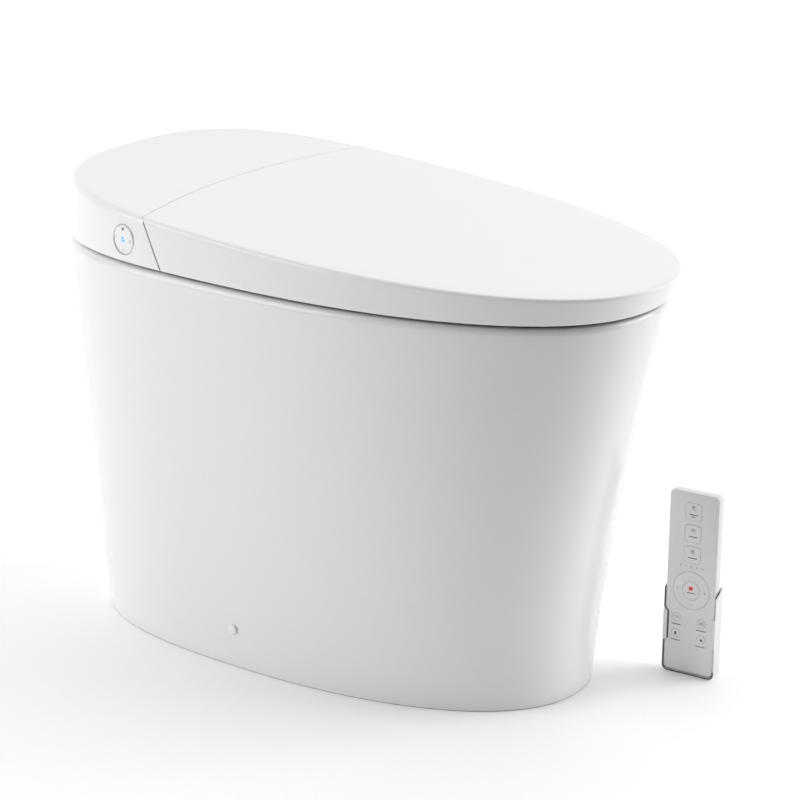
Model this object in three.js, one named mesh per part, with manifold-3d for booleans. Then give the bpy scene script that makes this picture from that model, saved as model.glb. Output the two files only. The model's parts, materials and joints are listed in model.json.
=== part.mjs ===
// Skirted one-piece electric bidet toilet with a hand remote, in millimetres, +Z up.
// The bowl's nose points to -Y, the wall is at +Y, and a seated person's right hand is at -X.
import * as THREE from 'three';
import { mergeVertices } from 'three/addons/utils/BufferGeometryUtils.js';
import Module from 'manifold-3d';

const wasm = await Module();
wasm.setup();

// Driving dimensions
const LENGTH = 690;             // nose to wall end
const CREST_TOP = 491.7;        // top surface at the wall end, if it were level there
const SLOPE = { fall: 36.3, sag: 15.6 };   // how the top surface drops towards the nose
const REAR_Y = LENGTH / 2;
const RIM_TOP = 425;            // top of the ceramic
const SHELL_BOTTOM = 428.5;     // lower edge of lid and rear cover
const SKIN = 3;                 // moulded wall thickness
const CERAMIC = 14;             // ceramic wall thickness
const GAP = 0.35;               // clearance between pieces that touch
const EDGE = 2.5;               // chamfer round the top edge
const RING_POINTS = 40;         // points round each outline
// Outlines: half width, reach to the front, reach to the rear, centre, exponents
const BASE = { half: 159.8, front: 327.3, rear: 252.2, centre: 70.3, nFront: 2.154, nRear: 2.775 };
const RIM = { half: 190.7, front: 402.9, rear: 275.1, centre: 69.3, nFront: 2.229, nRear: 2.959 };
const CREST = { half: 187.9, front: 414.3, rear: 275.7, centre: 69.3, nFront: 2.278, nRear: 2.817 };
const FLARE = { front: 0.539, side: -0.102, rear: -0.113 };   // skirt profile
const BOWL = { half: 128, front: 190, rear: 160, centre: -82, nFront: 2.1, nRear: 2.3 };
const SEAT_HOLE = { half: 112, front: 170, rear: 148, centre: -75, nFront: 2.1, nRear: 2.2 };
// Seam between the lid and the rear cover, an arc in plan that leans back towards the top
const SEAM = { centreY: 178.4, sag: 20.8, half: 187, lean: 0.53, height: 480 };
// Hinge axis of seat and lid
const HINGE = { y: 204, z: 470, pin: 4, eye: 7.8, drop: 34, arm: 3.5, armWidth: 10 };
const LID_ARM_X = 62;
const SEAT_ARM_X = 44;
// Wash nozzle: exit point, slope, travel of both stages
const NOZZLE = { y: 160, z: 437, slope: 18, tube: 6.5, rod: 4.2, length: 110 };
const RACK = { module: 0.8, teeth: 14, pitchX: 8.8, pinionY: 36 };
// Rear service pocket in the ceramic
const POCKET = { half: 100, front: 206, back: 300, bottom: 275 };
// Side knob
const KNOB = { x: -183.7, y: 184, z: 451, r: 15.6, yaw: 9.5, cap: 3, proud: 0.8, travel: 1.5, pilot: 4.4 };
const CAP = { x: 163.2, y: 64.5, z: 44.5, r: 5.8 };
const SEAM_GAP = 0.6;           // half the gap between lid and rear cover
const PLATE = 5.5;              // chassis plate
// Ways through the pan, chassis and cover: half widths, ends and heights
const WINDOW = { half: 60, low: 300, high: 385 };
const CHANNEL = { half: 17, from: 40, to: 182, bottom: 392 };
const DOOR = { half: 14, top: 448 };
const VENT = { near: 78, far: 102, low: 436.5, high: 451.5 };
const FRONT_CUT = { from: 120, to: 182 };   // reaches through the cover's front wall
// Hand remote: lower front corner, turn, lean, body
const REMOTE = { x: 108.8, y: -292.7, yaw: -84.72, lean: 0.98, wide: 59.5, tall: 201.8, thick: 12 };

const group = new THREE.Group();
const finish = {
  ceramic: [0xf1f0ee, 0.12], white: [0xf4f4f3, 0.25], light: [0xd8d9da, 0.4], grey: [0x8b8f93, 0.5],
  dark: [0x2c2e31, 0.6], steel: [0xb9bcc0, 0.3, 1], rubber: [0x3a3b3d, 0.9], board: [0x1f6b3a, 0.6],
  copper: [0xb5713f, 0.4, 1], blue: [0x4a8fd6, 0.4], carbon: [0x202224, 0.95], panel: [0xc9cbcd, 0.45],
};

// ---- geometry helpers ----

function solid(geometry) {
  const bare = geometry.index ? geometry.toNonIndexed() : geometry.clone();
  bare.deleteAttribute('normal');
  bare.deleteAttribute('uv');
  const merged = mergeVertices(bare, 1e-4);
  return new wasm.Manifold(new wasm.Mesh({
    numProp: 3,
    vertProperties: new Float32Array(merged.attributes.position.array),
    triVerts: new Uint32Array(merged.index.array),
  }));
}

function toGeometry(manifold) {
  const mesh = manifold.getMesh();
  const geometry = new THREE.BufferGeometry();
  geometry.setAttribute('position', new THREE.BufferAttribute(new Float32Array(mesh.vertProperties), 3));
  geometry.setIndex(new THREE.BufferAttribute(new Uint32Array(mesh.triVerts), 1));
  geometry.computeVertexNormals();
  return geometry;
}

function add(name, shape, look, parent = group) {
  const [color, roughness, metalness = 0] = finish[look];
  const material = new THREE.MeshStandardMaterial({ color, roughness, metalness });
  const mesh = new THREE.Mesh(toGeometry(shape), material);
  mesh.name = name;
  parent.add(mesh);
  return mesh;
}

function box(x0, x1, y0, y1, z0, z1) {
  const geometry = new THREE.BoxGeometry(x1 - x0, y1 - y0, z1 - z0);
  geometry.translate((x0 + x1) / 2, (y0 + y1) / 2, (z0 + z1) / 2);
  return solid(geometry);
}

function cylinder(radius, from, to, axis, a, b, sides = 20) {
  const geometry = new THREE.CylinderGeometry(radius, radius, to - from, sides);
  geometry.translate(0, (from + to) / 2, 0);
  if (axis === 'x') geometry.rotateZ(-Math.PI / 2).translate(0, a, b);
  if (axis === 'y') geometry.translate(a, 0, b);
  if (axis === 'z') geometry.rotateX(Math.PI / 2).translate(a, b, 0);
  return solid(geometry);
}

function union(...shapes) {
  return shapes.reduce((sum, shape) => sum.add(shape));
}

function tube(points, radius, steps, sides = 8) {
  const ring = new THREE.Shape();
  for (let i = 0; i < sides; i += 1) {
    const angle = 2 * Math.PI * i / sides;
    const x = radius * Math.cos(angle);
    const y = radius * Math.sin(angle);
    if (i === 0) ring.moveTo(x, y);
    else ring.lineTo(x, y);
  }
  ring.closePath();
  const path = new THREE.CatmullRomCurve3(points.map((p) => new THREE.Vector3(...p)));
  return solid(new THREE.ExtrudeGeometry(ring, { steps, extrudePath: path, bevelEnabled: false }));
}

// A closed body through a stack of rings that all have the same number of points
function loft(rings) {
  const count = rings[0].length;
  const positions = [];
  rings.forEach((ring) => ring.forEach((p) => positions.push(p.x, p.y, p.z)));
  const index = [];
  for (let r = 0; r < rings.length - 1; r += 1) {
    for (let i = 0; i < count; i += 1) {
      const j = (i + 1) % count;
      const a = r * count;
      const b = a + count;
      index.push(a + i, a + j, b + j, a + i, b + j, b + i);
    }
  }
  [0, rings.length - 1].forEach((r) => {
    const middle = new THREE.Vector3();
    rings[r].forEach((p) => middle.addScaledVector(p, 1 / count));
    const hub = positions.length / 3;
    positions.push(middle.x, middle.y, middle.z);
    for (let i = 0; i < count; i += 1) {
      const j = (i + 1) % count;
      const a = r * count;
      if (r === 0) index.push(hub, a + j, a + i);
      else index.push(hub, a + i, a + j);
    }
  });
  const geometry = new THREE.BufferGeometry();
  geometry.setAttribute('position', new THREE.Float32BufferAttribute(positions, 3));
  geometry.setIndex(index);
  return solid(geometry);
}

// A point of an outline at angle t, moved in by inset
function outlinePoint(o, t, inset = 0) {
  const c = Math.cos(t);
  const s = Math.sin(t);
  const n = s < 0 ? o.nFront : o.nRear;
  const reach = (s < 0 ? o.front : o.rear) - inset;
  const x = (o.half - inset) * Math.sign(c) * Math.abs(c) ** (2 / n);
  const y = o.centre + reach * Math.sign(s) * Math.abs(s) ** (2 / n);
  return new THREE.Vector2(x, y);
}

function outlineRing(o, inset, height, scale = 1) {
  const points = [];
  for (let i = 0; i < RING_POINTS; i += 1) {
    const p = outlinePoint(o, 2 * Math.PI * i / RING_POINTS, inset);
    const y = o.centre + (p.y - o.centre) * scale;
    points.push(new THREE.Vector3(p.x * scale, y, typeof height === 'function' ? height(y) : height));
  }
  return points;
}

// Height of the sloping top surface at y
function topHeight(y) {
  const s = (REAR_Y - y) / LENGTH;
  return CREST_TOP - SLOPE.fall * s - SLOPE.sag * s * (1 - s);
}

// The body of lid and rear cover together, moved in by inset, from bottom to the top surface
function upperBody(inset, bottom, drop = inset) {
  const top = (y) => topHeight(y) - drop;
  return loft([
    outlineRing(RIM, inset, bottom),
    outlineRing(CREST, inset, (y) => top(y) - EDGE),
    outlineRing(CREST, inset + EDGE, top),
    outlineRing(CREST, inset + EDGE, top, 0.5),
  ]);
}

// Everything behind the seam (side 1) or in front of it (side -1), offset towards that side
function seamBlock(side, offset) {
  const reach = 260;
  const shape = new THREE.Shape();
  const arc = (x) => SEAM.centreY - SEAM.sag * (x / SEAM.half) ** 2 + side * offset;
  const steps = 14;
  shape.moveTo(-reach, side * 600);
  for (let i = 0; i <= steps; i += 1) {
    const x = -210 + 420 * i / steps;
    if (i === 0) shape.lineTo(-reach, arc(x));
    shape.lineTo(x, arc(x));
  }
  shape.lineTo(reach, arc(210));
  shape.lineTo(reach, side * 600);
  shape.closePath();
  const geometry = new THREE.ExtrudeGeometry(shape, { depth: 240, bevelEnabled: false });
  geometry.translate(0, 0, SEAM.height - 120);
  const lean = new THREE.Matrix4().set(
    1, 0, 0, 0,
    0, 1, SEAM.lean, -SEAM.lean * SEAM.height,
    0, 0, 1, 0,
    0, 0, 0, 1,
  );
  geometry.applyMatrix4(lean);
  return solid(geometry);
}

function prism(o, inset, bottom, top) {
  return loft([outlineRing(o, inset, bottom), outlineRing(o, inset, top)]);
}

// A plate shape in the YZ plane, extruded along X between two planes
function sidePlate(points, x0, x1) {
  const shape = new THREE.Shape(points.map(([y, z]) => new THREE.Vector2(y, z)));
  const geometry = new THREE.ExtrudeGeometry(shape, { depth: x1 - x0, bevelEnabled: false });
  geometry.applyMatrix4(new THREE.Matrix4().set(0, 0, 1, x0, 1, 0, 0, 0, 0, 1, 0, 0, 0, 0, 0, 1));
  return solid(geometry);
}

// ---- ceramic pan ----

function skirtRing(inset, h) {
  const points = [];
  for (let i = 0; i < RING_POINTS; i += 1) {
    const t = 2 * Math.PI * i / RING_POINTS;
    const low = outlinePoint(BASE, t, inset);
    const high = outlinePoint(RIM, t, inset);
    const s = Math.sin(t);
    const k = FLARE.side * Math.cos(t) ** 2 + (s < 0 ? FLARE.front : FLARE.rear) * s ** 2;
    const law = h + k * h * (h - 1);
    const p = low.lerp(high, law);
    points.push(new THREE.Vector3(p.x, p.y, RIM_TOP * h));
  }
  return points;
}

function skirtBody(inset, levels) {
  return loft(levels.map((h) => skirtRing(inset, h)));
}

const levels = [0, 0.16, 0.36, 0.58, 0.8, 1];
const trapPath = [
  [0, -70, 150], [0, -40, 112], [0, 10, 100], [0, 66, 128], [0, 112, 190],
  [0, 150, 205], [0, 172, 160], [0, 140, 98], [0, 84, 60], [0, 61, 26], [0, 60, -6],
];

function bowlCavity(grow) {
  const steps = [[1, RIM_TOP + 4], [1, RIM_TOP - 30], [0.88, 300], [0.6, 205], [0.22, 138]];
  const rings = steps.map(([scale, z]) => outlineRing(BOWL, -grow, z - (z < RIM_TOP ? grow : 0), scale));
  return loft(rings.reverse());
}

function ceramicPan() {
  const outer = skirtBody(0, levels);
  const hollow = skirtBody(CERAMIC, [-0.01, 0.3, 0.64, 0.93]);
  const bowlWall = bowlCavity(11);
  const trapWall = tube(trapPath, 36, 14, 8);
  const shell = 12;
  const side = POCKET.half + shell;
  const pocketWall = box(-side, side, POCKET.front - shell, REAR_Y, POCKET.bottom - shell, RIM_TOP);
  const inside = hollow.subtract(union(bowlWall, trapWall, pocketWall));
  let pan = outer.subtract(inside).subtract(bowlCavity(0)).subtract(tube(trapPath, 26, 14, 8));
  pan = pan.subtract(box(-POCKET.half, POCKET.half, POCKET.front, POCKET.back, POCKET.bottom, RIM_TOP + 5));
  pan = pan.subtract(box(-WINDOW.half, WINDOW.half, POCKET.back - 5, REAR_Y + 15, WINDOW.low, WINDOW.high));
  pan = pan.subtract(box(-CHANNEL.half, CHANNEL.half, CHANNEL.from, CHANNEL.to, CHANNEL.bottom, RIM_TOP + 5));
  [-1, 1].forEach((side) => {
    pan = pan.subtract(cylinder(4.6, 100, 200, 'x', CAP.y, CAP.z, 14).scale([side, 1, 1]));
  });
  return pan;
}

add('ceramic_pan', ceramicPan(), 'ceramic');

function ringPart(inner, outer, z0, z1, x, y, sides = 28) {
  return cylinder(outer, z0, z1, 'z', x, y, sides).subtract(cylinder(inner, z0 - 1, z1 + 1, 'z', x, y, sides));
}

add('outlet_gasket', ringPart(40, 54, 0.2, 9, 0, 60), 'rubber');

function floorBracket() {
  const foot = box(112, 138, 46, 83, 0.2, 4);
  const upright = box(135, 138, 46, 83, 0.2, 62);
  return foot.add(upright).subtract(cylinder(2.6, 120, 150, 'x', CAP.y, CAP.z, 12));
}

function fixingCap() {
  return cylinder(CAP.r, CAP.x + 0.9, CAP.x + 2.4, 'x', CAP.y, CAP.z, 20)
    .add(cylinder(4, 146, CAP.x + 1.2, 'x', CAP.y, CAP.z, 14))
    .add(cylinder(2.2, 128, 147, 'x', CAP.y, CAP.z, 10));
}

const sides = [['left', 1], ['right', -1]];   // a seated person's left is +X
sides.forEach(([name, side]) => {
  add(`floor_bracket_${name}`, floorBracket().scale([side, 1, 1]), 'steel');
  add(`fixing_cap_${name}`, fixingCap().scale([side, 1, 1]), 'white');
});

// ---- chassis and rear cover ----

const slotHalf = HINGE.armWidth / 2 + 1.5;
const armSlots = [LID_ARM_X, SEAT_ARM_X].flatMap((x) => [x, -x]);

function seatChassis() {
  let plate = prism(RIM, 9, RIM_TOP + GAP, RIM_TOP + PLATE).intersect(seamBlock(1, 6));
  plate = plate.subtract(box(-POCKET.half + 4, POCKET.half - 4, 226, POCKET.back - 4, 420, 440));
  plate = plate.subtract(box(-19, 19, 100, 196, 420, 440));
  return plate;
}

add('seat_chassis', seatChassis(), 'grey');

function rearCover() {
  const { from, to } = FRONT_CUT;
  const outer = upperBody(0, SHELL_BOTTOM).intersect(seamBlock(1, SEAM_GAP));
  const inner = upperBody(SKIN, SHELL_BOTTOM - 5).intersect(seamBlock(1, SEAM_GAP + SKIN));
  let cover = outer.subtract(inner);
  armSlots.forEach((x) => {
    const slotTop = HINGE.z + HINGE.eye + GAP;
    cover = cover.subtract(box(x - slotHalf, x + slotHalf, from, HINGE.y - HINGE.eye, 420, slotTop));
  });
  cover = cover.subtract(box(-DOOR.half, DOOR.half, from, to - 6, 420, DOOR.top));
  const vent = box(VENT.near, VENT.far, from, to, VENT.low, VENT.high);
  cover = cover.subtract(vent).subtract(vent.mirror([1, 0, 0]));
  const knobHole = cylinder(KNOB.r + 1.5, -16, 14, 'x', 0, KNOB.z, 28);
  return cover.subtract(knobHole.rotate([0, 0, -KNOB.yaw]).translate([KNOB.x, KNOB.y, 0]));
}

add('rear_cover', rearCover(), 'white');

// ---- hinge: dampers, seat arms, lid arms ----

const DECK = RIM_TOP + PLATE + GAP;     // top of the chassis, with its clearance

function hingeDamper() {
  const { y, z, pin } = HINGE;
  const low = DECK + 2.6;
  const barrel = cylinder(7.6, 75, 123, 'x', y, z, 20);
  const shaft = cylinder(pin, 30, 76, 'x', y, z, 16);
  const foot = box(107, 121, y - 5, y + 18, DECK, low).add(box(107, 121, y - 5, y + 5, DECK, z));
  const post = box(30, 34.5, y - 6, y + 18, DECK, low).add(box(30, 34.5, y - 6, y + 8, DECK, z + 6));
  const rail = box(30, 121, y + 12, y + 18, DECK, low);
  return union(barrel, shaft, foot, post, rail);
}

// A crank that drops from the hinge eye and runs forward by reach, then up by rise
function hingeArm(x, { reach, rise }) {
  const { y, z, drop, arm, armWidth } = HINGE;
  const x0 = x - armWidth / 2;
  const x1 = x + armWidth / 2;
  const outline = [
    [y + arm, z], [y + arm, z - drop - arm], [y - reach - arm, z - drop - arm],
    [y - reach - arm, z + rise], [y - reach + arm, z + rise],
    [y - reach + arm, z - drop + arm], [y - arm, z - drop + arm], [y - arm, z],
  ];
  const crank = sidePlate(outline, x0, x1).add(cylinder(HINGE.eye, x0, x1, 'x', y, z, 20));
  return crank.subtract(cylinder(HINGE.pin + 0.35, x0 - 1, x1 + 1, 'x', y, z, 16));
}

// Where each arm ends, forward of the hinge axis and above or below it
const LID_END = { reach: 46, rise: 2.4 };
const SEAT_END = { reach: 92, rise: -20 };
sides.forEach(([name, side]) => {
  add(`hinge_damper_${name}`, hingeDamper().scale([side, 1, 1]), 'grey');
  add(`lid_arm_${name}`, hingeArm(LID_ARM_X, LID_END).scale([side, 1, 1]), 'steel');
  add(`seat_arm_${name}`, hingeArm(SEAT_ARM_X, SEAT_END).scale([side, 1, 1]), 'steel');
});

// ---- lid ----

const LINER = { inset: SKIN + 1.2, thick: 2.2 };

function lidShell() {
  const outer = upperBody(0, SHELL_BOTTOM).intersect(seamBlock(-1, SEAM_GAP));
  return outer.subtract(upperBody(SKIN, SHELL_BOTTOM - 5));
}

function lidLiner() {
  const outer = upperBody(LINER.inset, SHELL_BOTTOM - 6, SKIN + GAP);
  const inner = upperBody(LINER.inset - 1, SHELL_BOTTOM - 9, SKIN + GAP + LINER.thick);
  return outer.subtract(inner).intersect(seamBlock(-1, 3.5));
}

add('lid_shell', lidShell(), 'white');
add('lid_liner', lidLiner(), 'light');

// ---- seat ring ----

const SEAT = { bottom: 431, split: 440, clear: 7.5, rearGap: 31, drop: 9 };

function seatSlab(inset, bottom, drop, rearGap = SEAT.rearGap) {
  let slab = upperBody(inset, bottom, drop).intersect(seamBlock(-1, rearGap));
  slab = slab.subtract(prism(SEAT_HOLE, SEAT.clear - inset, 400, 520));
  return slab.subtract(box(-19, 19, 50, 220, 400, 448));
}

function armRoom() {
  const x = SEAT_ARM_X;
  const room = HINGE.armWidth / 2 + GAP;
  const cut = (c) => box(c - room, c + room, 106, 200, 420, 451);
  return cut(x).add(cut(-x));
}

function seatLower() {
  const slice = box(-300, 300, -400, 400, SEAT.bottom, SEAT.split - GAP);
  return seatSlab(SEAT.clear, SEAT.bottom - 1, SEAT.drop).intersect(slice).subtract(armRoom());
}

function seatUpper() {
  const outer = seatSlab(SEAT.clear, SEAT.split, SEAT.drop);
  const inner = seatSlab(SEAT.clear + 4, SEAT.split - 5, SEAT.drop + 4, SEAT.rearGap - 3);
  return outer.subtract(inner).subtract(armRoom());
}

function seatHeater() {
  const outer = seatSlab(SEAT.clear + 8, SEAT.split - 1, SEAT.drop + 4 + GAP);
  const inner = seatSlab(SEAT.clear, SEAT.split - 8, SEAT.drop + 5.6, SEAT.rearGap - 3);
  return outer.subtract(inner).intersect(box(-300, 300, -400, 105, SEAT.split + 1, 520));
}

add('seat_lower_shell', seatLower(), 'dark');
add('seat_upper_shell', seatUpper(), 'white');
add('seat_heater', seatHeater(), 'copper');
sides.forEach(([name, side]) => {
  const bumper = cylinder(9, RIM_TOP + GAP, SEAT.bottom - GAP, 'z', 118, -225, 16);
  add(`seat_bumper_${name}`, bumper.scale([side, 1, 1]), 'rubber');
});

// ---- wash nozzle, sloping group ----

const nozzle = new THREE.Group();
nozzle.position.set(0, NOZZLE.y, NOZZLE.z);
nozzle.rotation.x = THREE.MathUtils.degToRad(NOZZLE.slope);
group.add(nozzle);

function nozzleGuide() {
  const block = box(-10, 4.5, 30, 104, -9.5, 9.5);
  return block.subtract(cylinder(NOZZLE.tube + 0.4, 20, 120, 'y', 0, 0, 24));
}

// Rack: teeth along the carrier's side, one every module * pi
function rackBar() {
  const { module, pitchX, pinionY } = RACK;
  const pitch = Math.PI * module;
  const root = pitchX - 1.25 * module;
  const tip = pitchX + module;
  const start = pinionY - pitch * 1.5;
  const count = 35;
  const slack = 0.16;
  const rootHalf = pitch / 4 + 1.25 * module * Math.tan(Math.PI / 9) - slack;
  const tipHalf = pitch / 4 - module * Math.tan(Math.PI / 9) - slack;
  const shape = new THREE.Shape();
  shape.moveTo(5.4, start - 2);
  shape.lineTo(root, start - 2);
  for (let i = 0; i < count; i += 1) {
    const y = start + pitch * i;
    shape.lineTo(root, y - rootHalf);
    shape.lineTo(tip, y - tipHalf);
    shape.lineTo(tip, y + tipHalf);
    shape.lineTo(root, y + rootHalf);
  }
  const end = start + pitch * (count - 1) + 2;
  shape.lineTo(root, end);
  shape.lineTo(5.4, end);
  shape.closePath();
  const geometry = new THREE.ExtrudeGeometry(shape, { depth: 4, bevelEnabled: false });
  geometry.translate(0, 0, -2);
  return solid(geometry);
}

function nozzleCarrier() {
  const wall = cylinder(NOZZLE.tube, 10, 10 + NOZZLE.length, 'y', 0, 0, 24);
  const bore = cylinder(NOZZLE.rod + 0.4, 0, 140, 'y', 0, 0, 20);
  return wall.add(rackBar()).subtract(bore);
}

function nozzleTip() {
  const rod = cylinder(NOZZLE.rod, 4, 100, 'y', 0, 0, 20);
  const head = cylinder(NOZZLE.tube, 3, 9.6, 'y', 0, 0, 20);
  const shield = box(-10, 10, 1.4, 3.2, -7.5, 7.5);
  return union(rod, head, shield);
}

function pinionShape() {
  const { module, teeth } = RACK;
  const pitchR = module * teeth / 2;
  const baseR = pitchR * Math.cos(Math.PI / 9);
  const tipR = pitchR + module;
  const rootR = pitchR - 1.25 * module;
  const involute = (r) => {
    const a = Math.acos(Math.min(1, baseR / r));
    return Math.tan(a) - a;
  };
  const halfAtPitch = Math.PI / (2 * teeth) - 0.16 / pitchR + involute(pitchR);
  const radii = [rootR, baseR, (baseR + pitchR) / 2 + 0.1, pitchR + 0.2, tipR];
  const half = (r) => halfAtPitch - involute(Math.max(r, baseR));
  const shape = new THREE.Shape();
  for (let i = 0; i < teeth; i += 1) {
    const middle = Math.PI + 2 * Math.PI * i / teeth;
    radii.forEach((r, k) => {
      const angle = middle - half(r);
      if (i === 0 && k === 0) shape.moveTo(r * Math.cos(angle), r * Math.sin(angle));
      else shape.lineTo(r * Math.cos(angle), r * Math.sin(angle));
    });
    [...radii].reverse().forEach((r) => {
      const angle = middle + half(r);
      shape.lineTo(r * Math.cos(angle), r * Math.sin(angle));
    });
  }
  shape.closePath();
  return shape;
}

const pinionX = RACK.pitchX + RACK.module * RACK.teeth / 2;

function nozzlePinion() {
  const geometry = new THREE.ExtrudeGeometry(pinionShape(), { depth: 5, bevelEnabled: false });
  geometry.translate(pinionX, RACK.pinionY, -2.5);
  return solid(geometry).add(cylinder(1.5, -1, 4.6, 'z', pinionX, RACK.pinionY, 12));
}

function nozzleMotor() {
  const can = cylinder(8, 3.4, 15, 'z', pinionX, RACK.pinionY, 20);
  const lug = box(pinionX - 6, pinionX + 12, RACK.pinionY + 2, RACK.pinionY + 12, 3.4, 5.4);
  return can.add(lug).subtract(cylinder(1.8, 2, 6, 'z', pinionX, RACK.pinionY, 12));
}

add('nozzle_guide', nozzleGuide(), 'light', nozzle);
add('nozzle_carrier', nozzleCarrier(), 'light', nozzle);
add('nozzle_tip', nozzleTip(), 'white', nozzle);
add('nozzle_pinion', nozzlePinion(), 'grey', nozzle);
add('nozzle_motor', nozzleMotor(), 'steel', nozzle);

// ---- warm air dryer and deodoriser ----

function fanHousing(x, y, r, height, ductX0, ductX1) {
  const wall = 2;
  const shell = cylinder(r, DECK, DECK + height, 'z', x, y, 28)
    .add(box(ductX0, ductX1, 186, y, DECK + 3, DECK + 22));
  const room = cylinder(r - wall, DECK + wall, DECK + height - wall, 'z', x, y, 28)
    .add(box(ductX0 + wall, ductX1 - wall, 180, y, DECK + 5, DECK + 20));
  return shell.subtract(room).subtract(cylinder(r * 0.45, DECK + 10, DECK + height + 5, 'z', x, y, 20));
}

function impeller(x, y, r, height, blades) {
  const hub = cylinder(r * 0.3, DECK + 4, DECK + height - 4, 'z', x, y, 14);
  let wheel = hub.add(cylinder(r, DECK + 4, DECK + 6, 'z', x, y, 24));
  for (let i = 0; i < blades; i += 1) {
    const blade = new THREE.BoxGeometry(r * 0.36, 1.2, height - 8);
    blade.rotateZ(0.7).translate(r * 0.78, 0, DECK + height / 2);
    blade.rotateZ(2 * Math.PI * i / blades).translate(x, y, 0);
    wheel = wheel.add(solid(blade));
  }
  return wheel;
}

const DRYER = { x: 70, y: 266, r: 34, height: 40 };
const ODOUR = { x: -78, y: 250, r: 24, height: 34 };
add('dryer_housing', fanHousing(DRYER.x, DRYER.y, DRYER.r, DRYER.height, 76, 104), 'grey');
add('dryer_impeller', impeller(DRYER.x, DRYER.y, DRYER.r - 6, DRYER.height, 9), 'light');
add('deodoriser_housing', fanHousing(ODOUR.x, ODOUR.y, ODOUR.r, ODOUR.height, -104, -76), 'grey');
add('deodoriser_impeller', impeller(ODOUR.x, ODOUR.y, ODOUR.r - 5, ODOUR.height, 9), 'light');

function slotted(x0, x1, y0, y1, z0, z1, slots) {
  let block = box(x0, x1, y0, y1, z0, z1);
  const pitch = (x1 - x0) / (slots + 0.5);
  for (let i = 0; i < slots; i += 1) {
    const x = x0 + pitch * (i + 0.5);
    block = block.subtract(box(x, x + pitch * 0.5, y0 - 1, y1 + 1, z0 + 2, z1 - 2));
  }
  return block;
}

add('dryer_heater', slotted(79, 101, 206, 222, DECK + 6, DECK + 19, 4), 'copper');
add('carbon_cartridge', slotted(-101, -79, 192, 218, DECK + 6, DECK + 19, 4), 'carbon');

// ---- water and power ----

function waterHeater() {
  const body = cylinder(17, 226, 286, 'y', 124, DECK + 20, 24);
  return union(body, box(112, 136, 230, 282, DECK, DECK + 8), cylinder(4, 285, 294, 'y', 124, DECK + 24, 12));
}

function washPump() {
  const motor = cylinder(12, -130, -103, 'x', 284, DECK + 14, 20);
  const head = box(-104, -92, 272, 297, DECK, DECK + 26);
  return motor.add(head).add(box(-128, -103, 277, 291, DECK, DECK + 6));
}

function flushPump() {
  const motor = cylinder(31, 10, 92, 'x', 254, 325, 24);
  const head = cylinder(36, -8, 12, 'x', 254, 325, 24);
  const outlet = cylinder(11, 340, 392, 'z', 2, 254, 16);
  const feet = box(10, 88, 232, 276, POCKET.bottom + GAP, 305);
  return union(motor, head, outlet, feet);
}

function inletValve() {
  const body = box(-70, -30, 250, 292, 318, 362);
  const spigot = cylinder(10, 290, 331, 'y', -36, 340, 20);
  const coil = cylinder(12, 360, 392, 'z', -50, 270, 16);
  const outlet = cylinder(5, 392, 398, 'z', -50, 270, 12);
  return union(body, spigot, coil, outlet, box(-66, -34, 256, 286, POCKET.bottom + GAP, 320));
}

function connectionPlate() {
  const edge = WINDOW.half - 0.5;
  const plate = box(-edge, edge, 320, 323, WINDOW.low + 0.5, WINDOW.high - 0.5);
  return plate.subtract(cylinder(10.4, 310, 330, 'y', -36, 340, 20))
    .subtract(cylinder(6.4, 310, 330, 'y', 34, 340, 16));
}

function powerGland() {
  const body = cylinder(6, 312, 329, 'y', 34, 340, 16);
  const nut = cylinder(9, 323.4, 327, 'y', 34, 340, 6);
  const bore = cylinder(3.4, 300, 340, 'y', 34, 340, 12);
  return body.add(nut).add(cylinder(9, 316, 319.6, 'y', 34, 340, 6)).subtract(bore);
}

const supplyRoute = [
  [-50, 268, 399], [-50, 269, 410], [-50, 277, 428], [-47, 295, 444], [-38, 312, 453], [0, 321, 457],
  [70, 319, 457], [108, 312, 456], [123.4, 303, 455], [124, 295.2, DECK + 24],
];
const washRoute = [
  [-91.6, 286, DECK + 14], [-82, 286.5, DECK + 14], [-44, 284, 452], [-26, 262, 459], [-16, 252, 462],
  [-12.6, 250, 463],
];

add('water_heater', waterHeater(), 'steel');
add('wash_pump', washPump(), 'grey');
add('flush_pump', flushPump(), 'dark');
add('inlet_valve', inletValve(), 'light');
add('connection_plate', connectionPlate(), 'dark');
add('power_gland', powerGland(), 'dark');
add('supply_hose', tube(supplyRoute, 4, 30), 'dark');
add('wash_hose', tube(washRoute, 3, 16), 'blue');

// ---- electronics ----

function electronicsBox() {
  return box(-152, -106, 226, 268, DECK, DECK + 24).subtract(box(-150, -108, 228, 266, DECK + 2, DECK + 30));
}

function controlBoard() {
  const board = box(-149, -109, 229, 265, DECK + 5, DECK + 6.6);
  const relay = box(-146, -132, 232, 246, DECK + 6, DECK + 18);
  const chip = box(-128, -112, 234, 256, DECK + 6, DECK + 12);
  const capacitor = cylinder(6, DECK + 6, DECK + 20, 'z', -138, 256, 14);
  return union(board, relay, chip, capacitor);
}

add('electronics_box', electronicsBox(), 'dark');
add('control_board', controlBoard(), 'board');

// ---- side knob: turns and presses ----
// Built in its own turned group: x runs into the cover, and 0 is the cover's face.

const knob = new THREE.Group();
knob.position.set(KNOB.x, KNOB.y, 0);
knob.rotation.z = THREE.MathUtils.degToRad(-KNOB.yaw);
group.add(knob);

const BEHIND_CAP = KNOB.cap - KNOB.proud + KNOB.travel;   // as far in as the cap's back goes
const SLEEVE = { end: 18, bore: 2.3, deep: 15.5 };
const ENCODER = { front: 11, back: 23, half: 11 };

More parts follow.
